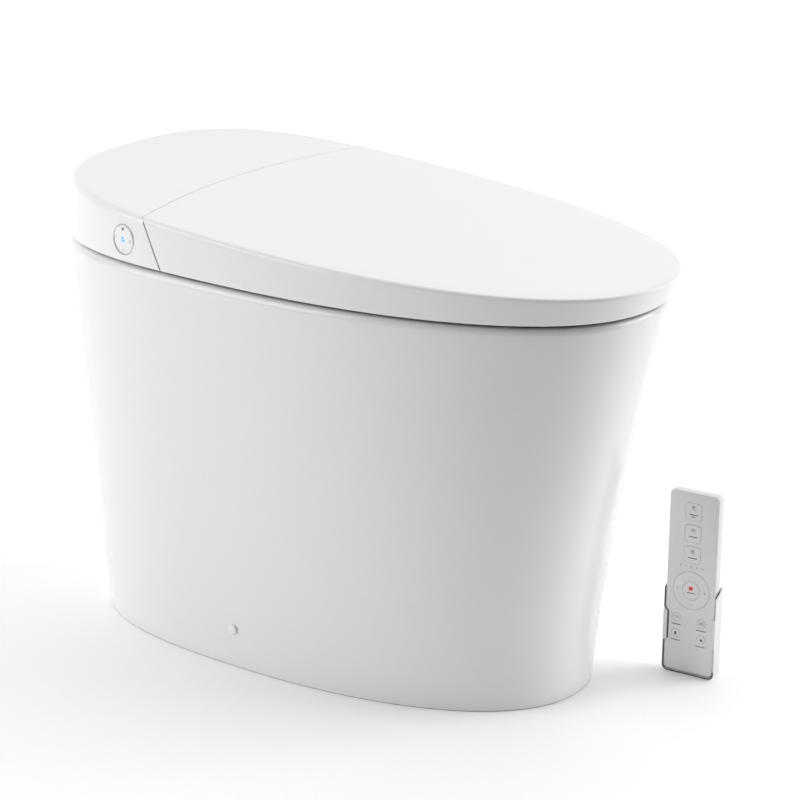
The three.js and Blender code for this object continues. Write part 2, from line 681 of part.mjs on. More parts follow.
function knobBezel() {
  const ring = cylinder(KNOB.r + 1.2, -0.6, 9, 'x', 0, KNOB.z, 32);
  const back = cylinder(KNOB.r + 3, 8.5, 10.5, 'x', 0, KNOB.z, 28);
  const well = cylinder(KNOB.r + 0.4, -8, 7, 'x', 0, KNOB.z, 32);
  return ring.add(back).subtract(well).subtract(cylinder(KNOB.pilot, 0, 12, 'x', 0, KNOB.z, 16));
}

function knobCap() {
  const disc = cylinder(KNOB.r - 0.2, -KNOB.proud, KNOB.cap - KNOB.proud, 'x', 0, KNOB.z, 32);
  return disc.add(cylinder(2, 1, 12, 'x', 0, KNOB.z, 12));
}

function knobShaft() {
  const sleeve = cylinder(4, BEHIND_CAP + 0.7, SLEEVE.end, 'x', 0, KNOB.z, 16);
  return sleeve.subtract(cylinder(SLEEVE.bore, 0, SLEEVE.deep, 'x', 0, KNOB.z, 12));
}

function knobEncoder() {
  const { front, back, half } = ENCODER;
  const can = box(front, back, -half, half, KNOB.z - half, KNOB.z + half);
  const foot = box(front + 2, back, 2 - half, half - 2, DECK, KNOB.z);
  return can.add(foot).subtract(cylinder(KNOB.pilot, 0, SLEEVE.end + 1, 'x', 0, KNOB.z, 16));
}

add('knob_bezel', knobBezel(), 'light', knob);
add('knob_cap', knobCap(), 'white', knob);
add('knob_shaft', knobShaft(), 'grey', knob);
add('knob_encoder', knobEncoder(), 'dark', knob);

// ---- hand remote in its cradle, built upright in its own turned group ----
// Local axes: x across the panel, y from the panel to the back, z up.

const remote = new THREE.Group();
remote.position.set(REMOTE.x, REMOTE.y, 0);
remote.rotation.set(THREE.MathUtils.degToRad(-REMOTE.lean), 0, THREE.MathUtils.degToRad(REMOTE.yaw), 'ZYX');
group.add(remote);

function roundedSlab(x0, x1, z0, z1, y0, y1, r, segments = 4) {
  const shape = new THREE.Shape();
  shape.moveTo(x0 + r, z0);
  shape.lineTo(x1 - r, z0);
  shape.absarc(x1 - r, z0 + r, r, -Math.PI / 2, 0, false);
  shape.absarc(x1 - r, z1 - r, r, 0, Math.PI / 2, false);
  shape.absarc(x0 + r, z1 - r, r, Math.PI / 2, Math.PI, false);
  shape.absarc(x0 + r, z0 + r, r, Math.PI, 1.5 * Math.PI, false);
  const settings = { depth: y1 - y0, bevelEnabled: false, curveSegments: segments };
  const geometry = new THREE.ExtrudeGeometry(shape, settings);
  geometry.rotateX(Math.PI / 2).translate(0, y1, 0);
  return solid(geometry);
}

const MID = REMOTE.wide / 2;
const FOOT = 3.1;                      // remote's lower end above the floor
const PANEL = { face: 0.3, thick: 2.4 };
const BODY_SIDE = 1.9;                 // the remote's sides stand in from the cradle's
const keys = [
  ['key_rear_wash', 'square', -0.8, 181.3], ['key_front_wash', 'square', -0.4, 157.6],
  ['key_dryer', 'square', 0, 134.2], ['key_ring', 'ring', 0.3, 94.5], ['key_stop', 'disc', 0.3, 94.5],
  ['key_seat_heat', 'dot', -15.1, 62.4], ['key_water_heat', 'dot', -15.5, 44.6],
  ['key_massage', 'dot', 13.6, 60.5], ['key_light', 'dot', 13.7, 42.8],
];

function keyShape(kind, x, z, grow, y0, y1) {
  const round = (r) => cylinder(r + grow, y0, y1, 'y', MID + x, z, kind === 'ring' ? 32 : 20);
  if (kind === 'square') {
    const half = 9.2 + grow;
    return roundedSlab(MID + x - half, MID + x + half, z - half, z + half, y0, y1, 3 + grow, 3);
  }
  if (kind === 'ring') {
    const hole = cylinder(10.4 - grow, y0 - 1, y1 + 1, 'y', MID + x, z, 24);
    return grow > 0 ? round(20.6) : round(20.6).subtract(hole);
  }
  return round(kind === 'disc' ? 9.6 : 4.8);
}

function frontPanel() {
  let panel = roundedSlab(BODY_SIDE, REMOTE.wide - BODY_SIDE, FOOT, REMOTE.tall, PANEL.face, PANEL.thick, 5);
  keys.filter((key) => key[1] !== 'disc').forEach(([, kind, x, z]) => {
    panel = panel.subtract(keyShape(kind, x, z, 0.35, -2, 5));
  });
  return panel;
}

function backShell() {
  const low = PANEL.thick + GAP;
  const outer = roundedSlab(BODY_SIDE, REMOTE.wide - BODY_SIDE, FOOT, REMOTE.tall, low, REMOTE.thick, 5);
  const side = BODY_SIDE + 2;
  const inner = roundedSlab(side, REMOTE.wide - side, FOOT + 2, REMOTE.tall - 2, 0, REMOTE.thick - 2, 3.4);
  return outer.subtract(inner);
}

add('remote_front_panel', frontPanel(), 'panel', remote);
add('remote_back_shell', backShell(), 'white', remote);
add('remote_board', box(6, REMOTE.wide - 6, 5.2, 6.6, 34, REMOTE.tall - 8), 'board', remote);
add('remote_battery', roundedSlab(10, REMOTE.wide - 10, 7, 31, 4, 9.4, 3, 3), 'steel', remote);
keys.forEach(([name, kind, x, z]) => {
  const crown = keyShape(kind, x, z, 0, -0.7, 3);
  const plate = box(MID + x - 2, MID + x + 2, 2.9, 4, z - 2, z + 2);
  const ringLeg = box(MID + x - 16, MID + x - 12, 2.9, 4, z - 2, z + 2);
  add(name, crown.add(kind === 'ring' ? ringLeg : plate), 'light', remote);
});

// Cradle: a pocket with slant-topped side walls, a back plate, a floor with two ribs that the remote
// stands on, and a short clip on each side that holds the panel's edge
const CRADLE = {
  wall: 1.1, floorLow: 0.3, floorHigh: 2.3, back: 2.2, frontRise: 92, backRise: 100,
  clipLow: 35, clipHigh: 68, clipWide: 4.4, clipFront: -1.2, corner: 5.9, ribFromEdge: 12, ribWide: 3,
};

function remoteCradle() {
  const c = CRADLE;
  const { wide, thick } = REMOTE;
  const depth = thick + GAP;
  const tail = depth + c.back;
  const above = c.backRise + 40;
  const inner = c.corner - c.wall;
  const block = roundedSlab(0, wide, c.floorLow, above, 0, tail, c.corner, 6);
  const room = roundedSlab(c.wall, wide - c.wall, c.floorHigh, above + 10, -5, depth, inner, 6);
  const slope = (c.backRise - c.frontRise) / tail;
  const slant = sidePlate([
    [-5, c.frontRise - 5 * slope], [tail + 5, c.backRise + 5 * slope], [tail + 5, above + 20], [-5, above + 20],
  ], -5, wide + 5);
  let holder = block.subtract(room).subtract(slant);
  [0, wide].forEach((edge) => {
    const inward = edge === 0 ? 1 : -1;
    const across = (near, far, ...rest) => {
      const [a, b] = [edge + inward * near, edge + inward * far].sort((p, q) => p - q);
      return box(a, b, ...rest);
    };
    holder = holder.add(across(0, c.clipWide, c.clipFront, -GAP, c.clipLow, c.clipHigh));
    holder = holder.add(across(0, c.wall, c.clipFront, 2, c.clipLow, c.clipHigh));
    holder = holder.add(across(c.ribFromEdge, c.ribFromEdge + c.ribWide, 2, depth + 1, 1, FOOT - GAP));
  });
  return holder;
}

add('remote_cradle', remoteCradle(), 'white', remote);

// Stand the whole on z = 0 with its footprint centred on the origin
group.updateMatrixWorld(true);
const bounds = new THREE.Box3().setFromObject(group, true);
group.position.set(0, -(bounds.min.y + bounds.max.y) / 2, 0);
group.updateMatrixWorld(true);

export default group;
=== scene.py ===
"""Looks of the one-piece electric bidet toilet and its hand remote.

Shapes are worked out in millimetres with the toilet's own centre line at x = 0, the wall end at
y = +345, the bowl's nose at -y and the floor at z = 0, and are placed in the frame in metres.
"""

import json
import math

import bmesh
import bpy
import numpy as np
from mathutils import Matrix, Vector


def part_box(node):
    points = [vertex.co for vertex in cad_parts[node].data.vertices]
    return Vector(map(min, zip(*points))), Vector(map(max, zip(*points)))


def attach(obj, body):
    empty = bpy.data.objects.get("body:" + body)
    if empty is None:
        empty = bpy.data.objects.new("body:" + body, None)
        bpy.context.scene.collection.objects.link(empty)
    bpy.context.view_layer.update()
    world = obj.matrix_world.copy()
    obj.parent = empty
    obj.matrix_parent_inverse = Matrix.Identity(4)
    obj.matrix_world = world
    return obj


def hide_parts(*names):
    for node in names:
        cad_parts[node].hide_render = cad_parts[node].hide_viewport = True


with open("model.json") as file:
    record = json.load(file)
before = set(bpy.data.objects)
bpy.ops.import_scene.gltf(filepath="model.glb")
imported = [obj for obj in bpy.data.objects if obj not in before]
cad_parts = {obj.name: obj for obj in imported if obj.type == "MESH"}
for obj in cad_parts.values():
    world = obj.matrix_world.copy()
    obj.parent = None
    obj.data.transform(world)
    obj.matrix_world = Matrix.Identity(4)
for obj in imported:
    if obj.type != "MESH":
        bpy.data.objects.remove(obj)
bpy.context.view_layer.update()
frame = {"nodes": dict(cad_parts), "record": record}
MM = 0.001

# ---- driving dimensions, in millimetres ----
REAR_Y = 345.0
LENGTH = 690.0
RIM_TOP = 425.0
SHELL_BOTTOM = 428.5
# Outlines seen from above: half the width, the reach in front of and behind the centre, and how
# square the front and the rear are, where 2 is an ellipse
BASE = dict(half=159.8, front=327.3, rear=252.2, centre=70.3, n_front=2.154, n_rear=2.775)
RIM = dict(half=190.7, front=402.9, rear=275.1, centre=69.3, n_front=2.229, n_rear=2.959)
CREST = dict(half=187.9, front=414.3, rear=275.7, centre=69.3, n_front=2.278, n_rear=2.817)
BOWL = dict(half=128.0, front=190.0, rear=160.0, centre=-82.0, n_front=2.1, n_rear=2.3)
SEAT_HOLE = dict(half=112.0, front=170.0, rear=148.0, centre=-75.0, n_front=2.1, n_rear=2.2)
FLARE = dict(front=0.539, side=-0.102, rear=-0.113)   # how hollow the skirt is; below zero it bulges
TOP_REAR, TOP_FALL, TOP_SAG = 491.7, 36.3, 15.6
DOME = 2.2                        # how far the middle of the top stands above its edge
TOP_MIDDLE = np.array([0, CREST["centre"] - 60])
# The seam between lid and rear cover: bowed by sag over half the width, and leaning back as it rises.
# centre_y is its middle at height.
SEAM = dict(centre_y=178.4, sag=20.8, half=187.0, lean=0.53, height=480.0)
SEAM_HALF = 0.75                  # half the gap between lid and rear cover
SHELL_WALL = 3.0
SLOTS = (62, 44, -62, -44)        # middles of the hinge arms' slots
AIR_OPENINGS = {"dryer_grille": (78, 102), "odour_grille": (-102, -78)}
AIR_LOW, AIR_HIGH = 436.5, 451.5
KNOB = np.array([-183.7, 184.0, 451.0])
KNOB_R = 15.6
KNOB_YAW = math.radians(9.5)      # the knob faces out square to the cover's curved side
CAP_X, CAP_Y, CAP_Z, CAP_R = 163.2, 64.5, 44.5, 5.8
# The hand remote: the place of one foot, how far it is turned and leans back in degrees, and its size
REMOTE = dict(x=108.8, y=-292.7, yaw=-84.72, lean=0.98, wide=59.5, tall=201.8, thick=12.0)
AROUND = 288                      # points round the toilet's outlines
SMOOTH_ANGLE = math.radians(35.0)
MERGE = 1e-7                      # points closer than this, in metres, are one
ON_AXIS = 0.001                   # radius where a turned profile starts and ends

# ---- studio ----
# Bearings are in degrees, from +X towards +Y, and lengths here in metres
DARK_SIDE = (-0.82, -0.56, -0.9)  # the room turns dark towards here, over DARK_FADE
DARK_FADE = (-0.7, -0.5)
WORLD_BRIGHT, WORLD_DARK = 1.0, 0.08
SIDE_LIGHTS = (("left", 142.0, 54.0), ("right", 309.0, 57.0))   # name, bearing, watts
AWAY = (0.79, 0.61, 0.0)          # along the floor, away from the camera
TABLE_NEAR, TABLE_FAR = 0.10, 0.42   # how much the table shines: round the toilet and far behind it
FLOOR_WHITE, FLOOR_GREY = 0.93, 0.5  # the table's colour, and the floor's, out of the picture in front
REMOTE_SPOT = dict(bearing=212.0, height=0.45, distance=2.0, cone=8.0, power=30.0)
LOOK_HEIGHT = 0.25                # camera and side lights face this height

KNOB_OUT = np.array([-math.cos(KNOB_YAW), math.sin(KNOB_YAW), 0.0])

# The rear cover's far end is at y = REAR_Y here, which gives how far the frame is shifted
SHIFT_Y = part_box("rear_cover")[1].y / MM - REAR_Y


# ---- mesh helpers ----

def place(points):
    """Toilet millimetres to frame metres."""
    p = np.asarray(points, float).copy()
    p[..., 1] += SHIFT_Y
    return p * MM


def add_object(name, data):
    obj = bpy.data.objects.new(name, data)
    bpy.context.scene.collection.objects.link(obj)
    return obj


def soften(obj):
    """Smooth shading that keeps edges sharper than SMOOTH_ANGLE."""
    obj.data.shade_smooth()
    obj.data.set_sharp_from_angle(angle=SMOOTH_ANGLE)


def mesh_object(name, verts, faces):
    mesh = bpy.data.meshes.new(name)
    mesh.from_pydata([tuple(v) for v in verts], [], [tuple(f) for f in faces])
    mesh.validate()
    obj = add_object(name, mesh)
    bm = bmesh.new()
    bm.from_mesh(mesh)
    bmesh.ops.remove_doubles(bm, verts=bm.verts, dist=MERGE)
    bmesh.ops.dissolve_degenerate(bm, edges=bm.edges, dist=MERGE)
    bmesh.ops.recalc_face_normals(bm, faces=bm.faces)
    bm.to_mesh(mesh)
    bm.free()
    soften(obj)
    return obj


def ring_surface(rings, loop=False):
    """Points and faces through rings of equal length. The ends are fans, or joined when loop."""
    count = len(rings[0])
    verts = np.concatenate([np.asarray(r, float) for r in rings])
    faces = []
    last = len(rings) if loop else len(rings) - 1
    for r in range(last):
        a, b = r * count, ((r + 1) % len(rings)) * count
        for i in range(count):
            j = (i + 1) % count
            faces.append((a + i, a + j, b + j, b + i))
    if not loop:
        hubs = [np.mean(rings[0], axis=0), np.mean(rings[-1], axis=0)]
        verts = np.concatenate([verts, hubs])
        low, high = len(verts) - 2, len(verts) - 1
        top = (len(rings) - 1) * count
        for i in range(count):
            j = (i + 1) % count
            faces.append((low, j, i))
            faces.append((high, top + i, top + j))
    return verts, faces


def ring_mesh(name, rings, loop=False, transform=place):
    verts, faces = ring_surface(rings, loop)
    return mesh_object(name, transform(verts), faces)


def boolean(obj, cutter, operation="DIFFERENCE"):
    """Changes obj's mesh by a solid cutter, which is used up."""
    mod = obj.modifiers.new("cut", "BOOLEAN")
    mod.operation = operation
    mod.object = cutter
    mod.solver = "MANIFOLD"
    bpy.context.view_layer.update()
    graph = bpy.context.evaluated_depsgraph_get()
    mesh = bpy.data.meshes.new_from_object(obj.evaluated_get(graph))
    obj.modifiers.clear()
    old = obj.data
    obj.data = mesh
    bpy.data.meshes.remove(old)
    bpy.data.objects.remove(cutter)
    soften(obj)


def box_object(x0, x1, y0, y1, z0, z1):
    """A cutter for straight openings."""
    c = np.array([(x, y, z) for x in (x0, x1) for y in (y0, y1) for z in (z0, z1)], float)
    faces = [(0, 1, 3, 2), (4, 6, 7, 5), (0, 4, 5, 1), (2, 3, 7, 6), (0, 2, 6, 4), (1, 5, 7, 3)]
    return mesh_object("cutter", place(c), faces)


def lathe(name, profile, centre, axis, sides=64, transform=place):
    """A turned solid. Its profile is (radius, distance along axis) and starts and ends on the axis."""
    axis = Vector(axis).normalized()
    side = axis.orthogonal().normalized()
    up = axis.cross(side)
    rings = []
    for radius, along in profile:
        ring = []
        for i in range(sides):
            a = 2 * math.pi * i / sides
            ring.append(Vector(centre) + axis * along + (side * math.cos(a) + up * math.sin(a)) * radius)
        rings.append(np.array([tuple(p) for p in ring]))
    return ring_mesh(name, rings, transform=transform)


# ---- outlines ----

def outline(o, t, inset=0.0):
    """Points of an outline for the angles t."""
    c, s = np.cos(t), np.sin(t)
    n = np.where(s < 0, o["n_front"], o["n_rear"])
    reach = np.where(s < 0, o["front"], o["rear"]) - inset
    x = (o["half"] - inset) * np.sign(c) * np.abs(c) ** (2 / n)
    y = o["centre"] + reach * np.sign(s) * np.abs(s) ** (2 / n)
    return np.stack([x, y], -1)


def even_angles(o, count):
    """Angles that space points evenly along an outline."""
    dense = np.linspace(0, 2 * math.pi, 40001)
    p = outline(o, dense)
    run = np.concatenate([[0], np.cumsum(np.linalg.norm(np.diff(p, axis=0), axis=1))])
    return np.interp(np.linspace(0, run[-1], count, endpoint=False), run, dense)


T = even_angles(RIM, AROUND)


def top_height(y):
    """Height of the top's edge: it falls from the wall end to the nose, with a slight sag."""
    s = (REAR_Y - y) / LENGTH
    return TOP_REAR - TOP_FALL * s - TOP_SAG * s * (1 - s)


def crown(xy):
    """The slight dome of the top surface: nothing at the edge, DOME in the middle."""
    u = np.abs(xy[..., 0]) / CREST["half"]
    reach = np.where(xy[..., 1] < CREST["centre"], CREST["front"], CREST["rear"])
    v = np.abs(xy[..., 1] - CREST["centre"]) / reach
    return DOME * np.clip(1 - u ** 2.4 - v ** 2.4, 0, 1)


def quarter_round(steps):
    """How far in and how far down a rounded edge of radius 1 is, from its foot to its top."""
    a = np.linspace(0, 1, steps) * math.pi / 2
    return list(zip(1 - np.cos(a), 1 - np.sin(a)))


def shell_rings(inset, bottom, drop, edge, bottom_edge=0.0):
    """Rings of the body of lid and rear cover: up the side wall, round the top edge, in over the top."""
    rings = []
    high = outline(CREST, T, inset)
    z_top = top_height(high[:, 1]) - drop
    wall = z_top - bottom

    def level(inward, height):
        height = np.broadcast_to(height, len(T))
        v = np.clip((height - SHELL_BOTTOM) / (z_top + drop - SHELL_BOTTOM), 0, 1)[:, None]
        p = outline(RIM, T, inset + inward) * (1 - v) + outline(CREST, T, inset + inward) * v
        return np.column_stack([p, height])

    if bottom_edge:
        rings += [level(bottom_edge * d, bottom + bottom_edge * i) for i, d in quarter_round(5)[:-1]]
    for f in np.linspace(0, 1, 7):
        rings.append(level(0.0, bottom + bottom_edge + (wall - bottom_edge - edge) * f))
    rings += [level(edge * i, z_top - edge * d) for i, d in quarter_round(9)[1:]]
    rim = outline(CREST, T, inset + edge)
    towards_middle = (0.985, 0.95, 0.88, 0.76, 0.6, 0.42, 0.22, 0.06)
    for scale in towards_middle:
        p = (rim - TOP_MIDDLE) * scale + TOP_MIDDLE
        z = top_height(p[:, 1]) - drop + crown(p)
        rings.append(np.column_stack([p, z]))
    return rings


def seam_y(x, z):
    """Where the leaning, bowed seam between lid and rear cover runs."""
    return SEAM["centre_y"] - SEAM["sag"] * (x / SEAM["half"]) ** 2 + SEAM["lean"] * (z - SEAM["height"])


def seam_block(side, offset):
    """All that is behind the seam (side 1) or in front of it (side -1), offset towards that side."""
    wide, far_y, z0, z1 = 215.0, 700.0, 380.0, 560.0
    xs = np.linspace(-wide, wide, 121)
    low = [(x, seam_y(x, z0) + side * offset, z0) for x in xs]
    high = [(x, seam_y(x, z1) + side * offset, z1) for x in xs]
    n = len(xs)
    verts = low + high + [(x, side * far_y, z) for z in (z0, z1) for x in (-wide, wide)]
    a, b, c, d = 2 * n, 2 * n + 1, 2 * n + 2, 2 * n + 3
    faces = [(i, i + 1, n + i + 1, n + i) for i in range(n - 1)]
    faces += [tuple(range(n)) + (b, a), tuple(range(n, 2 * n)) + (d, c)]
    faces += [(0, n, c, a), (n - 1, 2 * n - 1, d, b), (a, b, d, c)]
    return mesh_object("seam", place(verts), faces)


# ---- materials ----

GRAIN_DEPTH = 0.0002              # metres
PLASTIC_EDGE = 0.0006


def new_material(name, colour, roughness, metallic=0.0):
    mat = bpy.data.materials.new(name)
    mat.use_nodes = True
    tree = mat.node_tree
    shader = next(n for n in tree.nodes if n.type == "BSDF_PRINCIPLED")
    shader.inputs["Base Color"].default_value = (*colour, 1)
    shader.inputs["Roughness"].default_value = roughness
    shader.inputs["Metallic"].default_value = metallic
    return mat, tree, shader


def noise(tree, scale, detail=3.0, roughness=0.5):
    coords = tree.nodes.new("ShaderNodeTexCoord")
    node = tree.nodes.new("ShaderNodeTexNoise")
    node.inputs["Scale"].default_value = scale
    node.inputs["Detail"].default_value = detail
    node.inputs["Roughness"].default_value = roughness
    tree.links.new(coords.outputs["Object"], node.inputs["Vector"])
    return node


def vary(tree, value, low, high, start=0.0, end=1.0, gentle=False):
    """Maps a value from start..end to low..high, gently at both ends or straight."""
    node = tree.nodes.new("ShaderNodeMapRange")
    node.interpolation_type = "SMOOTHSTEP" if gentle else "LINEAR"
    node.inputs["From Min"].default_value = start
    node.inputs["From Max"].default_value = end
    node.inputs["To Min"].default_value = low
    node.inputs["To Max"].default_value = high
    tree.links.new(value, node.inputs["Value"])
    return node.outputs["Result"]


def lengthwise(tree, space, direction):
    """How far a point, or in the world a line of sight, reaches along a direction."""
    coords = tree.nodes.new("ShaderNodeTexCoord")
    dot = tree.nodes.new("ShaderNodeVectorMath")
    dot.operation = "DOT_PRODUCT"
    dot.inputs[1].default_value = direction
    tree.links.new(coords.outputs[space], dot.inputs[0])
    return dot.outputs["Value"]


def colour_between(tree, factor, a, b):
    ramp = tree.nodes.new("ShaderNodeValToRGB")
    ramp.color_ramp.elements[0].color = (*a, 1)
    ramp.color_ramp.elements[1].color = (*b, 1)
    ramp.color_ramp.elements[0].position = 0.1
    ramp.color_ramp.elements[1].position = 0.9
    tree.links.new(factor, ramp.inputs["Fac"])
    return ramp.outputs["Color"]


def add_bump(tree, shader, height, strength, distance, edge):
    """A bumpy surface whose edges look rounded with the radius edge, both in metres."""
    bump = tree.nodes.new("ShaderNodeBump")
    bump.inputs["Strength"].default_value = strength
    bump.inputs["Distance"].default_value = distance
    tree.links.new(height, bump.inputs["Height"])
    bevel = tree.nodes.new("ShaderNodeBevel")
    bevel.samples = 6
    bevel.inputs["Radius"].default_value = edge
    tree.links.new(bevel.outputs["Normal"], bump.inputs["Normal"])
    tree.links.new(bump.outputs["Normal"], shader.inputs["Normal"])


def glazed_ceramic():
    """Glossy glaze: thick and thin by turns, so its surface is slightly wavy."""
    mat, tree, shader = new_material("glazed_ceramic", (0.86, 0.86, 0.855), 0.16)
    slow = noise(tree, 9.0, 2.0).outputs["Fac"]
    tree.links.new(vary(tree, slow, 0.13, 0.19), shader.inputs["Roughness"])
    thin, thick = (0.862, 0.862, 0.859), (0.868, 0.868, 0.864)
    tree.links.new(colour_between(tree, slow, thin, thick), shader.inputs["Base Color"])
    add_bump(tree, shader, slow, 0.25, distance=0.0006, edge=0.0015)
    shader.inputs["Coat Weight"].default_value = 0.15
    shader.inputs["Coat Roughness"].default_value = 0.05
    return mat


def moulded_plastic(name, colour, roughness, grain=900.0, strength=0.05, coat=0.0):
    """Fine moulded grain, slightly uneven in colour and gloss, with softened edges."""
    mat, tree, shader = new_material(name, colour, roughness)
    fine = noise(tree, grain, 4.0, 0.6)
    slow = noise(tree, 14.0, 2.0).outputs["Fac"]
    darker = tuple(c * 0.996 for c in colour)
    lighter = tuple(min(1.0, c * 1.004) for c in colour)
    tree.links.new(colour_between(tree, slow, darker, lighter), shader.inputs["Base Color"])
    tree.links.new(vary(tree, slow, roughness * 0.96, roughness * 1.04), shader.inputs["Roughness"])
    add_bump(tree, shader, fine.outputs["Fac"], strength, GRAIN_DEPTH, PLASTIC_EDGE)
    shader.inputs["Coat Weight"].default_value = coat
    shader.inputs["Coat Roughness"].default_value = 0.08
    return mat


def brushed_steel():
    mat, tree, shader = new_material("brushed_steel", (0.56, 0.57, 0.58), 0.3, 1.0)
    coords = tree.nodes.new("ShaderNodeTexCoord")
    stretch = tree.nodes.new("ShaderNodeMapping")
    stretch.inputs["Scale"].default_value = (30, 900, 900)
    lines = tree.nodes.new("ShaderNodeTexNoise")
    lines.inputs["Scale"].default_value = 1.0
    tree.links.new(coords.outputs["Object"], stretch.inputs["Vector"])
    tree.links.new(stretch.outputs["Vector"], lines.inputs["Vector"])
    tree.links.new(vary(tree, lines.outputs["Fac"], 0.22, 0.42), shader.inputs["Roughness"])
    add_bump(tree, shader, lines.outputs["Fac"], 0.12, GRAIN_DEPTH, edge=0.0004)
    return mat


def glowing(name, colour, strength):
    mat, tree, shader = new_material(name, colour, 0.3)
    shader.inputs["Emission Color"].default_value = (*colour, 1)
    shader.inputs["Emission Strength"].default_value = strength
    slow = noise(tree, 2000.0)
    tree.links.new(vary(tree, slow.outputs["Fac"], 0.25, 0.35), shader.inputs["Roughness"])
    return mat


GLAZE = glazed_ceramic()
WHITE = moulded_plastic("white_plastic", (0.9, 0.9, 0.898), 0.28, coat=0.1)
SEAT_WHITE = moulded_plastic("seat_plastic", (0.85, 0.85, 0.845), 0.32, coat=0.1)
CASE_WHITE = moulded_plastic("remote_white_plastic", (0.77, 0.77, 0.768), 0.34, coat=0.05)
LIGHT = moulded_plastic("light_plastic", (0.7, 0.705, 0.71), 0.4, 700, 0.12)
PANEL = moulded_plastic("panel_plastic", (0.76, 0.762, 0.765), 0.42, 1600, 0.12)
KEY = moulded_plastic("key_plastic", (0.77, 0.772, 0.775), 0.45, 1600, 0.1)
GREY = moulded_plastic("grey_plastic", (0.3, 0.31, 0.32), 0.5, 600, 0.2)
# Dark plastic, also used as painted shade in the seam strip and the seat base
DARK = moulded_plastic("dark_plastic", (0.035, 0.037, 0.04), 0.5, 600, 0.2)
PRINT = moulded_plastic("printed_grey", (0.12, 0.125, 0.13), 0.5, 900, 0.05)
RED = moulded_plastic("printed_red", (0.9, 0.015, 0.012), 0.45, 900, 0.05)
# Grey silicone; its grey is partly painted contact shade along the toilet's foot
SEAL_AND_SHADE = moulded_plastic("floor_silicone_and_shade", (0.3, 0.3, 0.305), 0.6, 900, 0.1)
# Near black, for painted shade at the cradle's mouth
PAINTED_SHADE_EDGING = moulded_plastic("painted_shade_edging", (0.1, 0.1, 0.103), 0.7, 1200, 0.2)
RUBBER = moulded_plastic("soft_rubber", (0.05, 0.05, 0.052), 0.8, 1200, 0.3)
BOARD = moulded_plastic("circuit_board", (0.02, 0.16, 0.06), 0.45, 300, 0.2)
COPPER = moulded_plastic("heater_foil", (0.6, 0.33, 0.16), 0.35, 300, 0.2)
BLUE = moulded_plastic("blue_tube", (0.1, 0.3, 0.65), 0.35, 500, 0.1)
CARBON = moulded_plastic("carbon_cloth", (0.02, 0.02, 0.022), 0.9, 500, 0.6)
STEEL = brushed_steel()
LED = glowing("blue_light", (0.04, 0.36, 0.9), 0.75)

CAD_LOOKS = {
    "ceramic": GLAZE, "white_plastic": WHITE, "light_plastic": LIGHT, "panel_plastic": PANEL,
    "grey_plastic": GREY, "dark_plastic": DARK, "steel": STEEL, "rubber": RUBBER,
    "heater_copper": COPPER, "board": BOARD, "blue_tube": BLUE, "carbon": CARBON,
}
for part in frame["record"]["subparts"]:
    mesh = frame["nodes"][part["node"]].data
    mesh.materials.clear()
    mesh.materials.append(CAD_LOOKS[part["material_slot"]])


def dress(obj, material, body, slot, *nodes):
    """Gives a piece its look and the body it rides on, and hides the CAD nodes it stands for. The slot
    argument is not used.
    """
    obj.data.materials.clear()
    obj.data.materials.append(material)
    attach(obj, body)
    if nodes:
        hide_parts(*nodes)


# ---- camera, light and floor ----

def look_at(obj, target):
    obj.rotation_euler = (Vector(target) - obj.location).to_track_quat("-Z", "Y").to_euler()


def make_camera():
    azimuth, elevation = math.radians(-52.47), math.radians(19.42)
    distance = 3.085
    target = Vector((0, SHIFT_Y * MM, LOOK_HEIGHT))
    data = bpy.data.cameras.new("camera")
    camera = add_object("camera", data)
    away = Vector((math.sin(azimuth) * math.cos(elevation), -math.cos(azimuth) * math.cos(elevation),
                   math.sin(elevation)))
    camera.location = target + away * distance
    look_at(camera, target)
    data.sensor_width = 36
    data.lens = 132.1
    data.shift_x = 0.0286
    data.shift_y = 0.0185
    data.clip_end = 60
    bpy.context.scene.camera = camera


def side_light(name, bearing, power):
    """A large square lamp that stands beside the toilet and faces its middle."""
    distance, height, size = 2.9, 1.6, 2.2
    data = bpy.data.lights.new(name, "AREA")
    data.energy = power
    data.size = size
    light = add_object(name, data)
    a = math.radians(bearing)
    light.location = (distance * math.cos(a), distance * math.sin(a), height)
    look_at(light, (0, 0, LOOK_HEIGHT))


def remote_spot():
    """A small soft spotlight on the face of the hand remote, which stands in the toilet's shade."""
    data = bpy.data.lights.new("remote_spot", "SPOT")
    data.energy = REMOTE_SPOT["power"]
    data.spot_size = math.radians(REMOTE_SPOT["cone"])
    data.spot_blend = 0.6
    data.shadow_soft_size = 0.12
    light = add_object("remote_spot", data)
    beside, in_front, height = 14, -50, 90     # close to the middle of the remote's face
    aim = Vector((REMOTE["x"] + beside, REMOTE["y"] + in_front + SHIFT_Y, height)) * MM
    a = math.radians(REMOTE_SPOT["bearing"])
    light.location = aim + Vector((math.cos(a), math.sin(a), 0)) * REMOTE_SPOT["distance"]
    light.location.z = REMOTE_SPOT["height"]
    look_at(light, aim)


def graded_world():
    """A room that is bright above and behind the toilet, and dark on the camera's side."""
    world = bpy.data.worlds.new("studio")
    bpy.context.scene.world = world
    world.use_nodes = True
    tree = world.node_tree
    towards = lengthwise(tree, "Generated", DARK_SIDE)
    light = vary(tree, towards, WORLD_BRIGHT, WORLD_DARK, *DARK_FADE, gentle=True)
    background = tree.nodes["Background"]
    background.inputs["Color"].default_value = (1, 1, 1, 1)
    tree.links.new(light, background.inputs["Strength"])


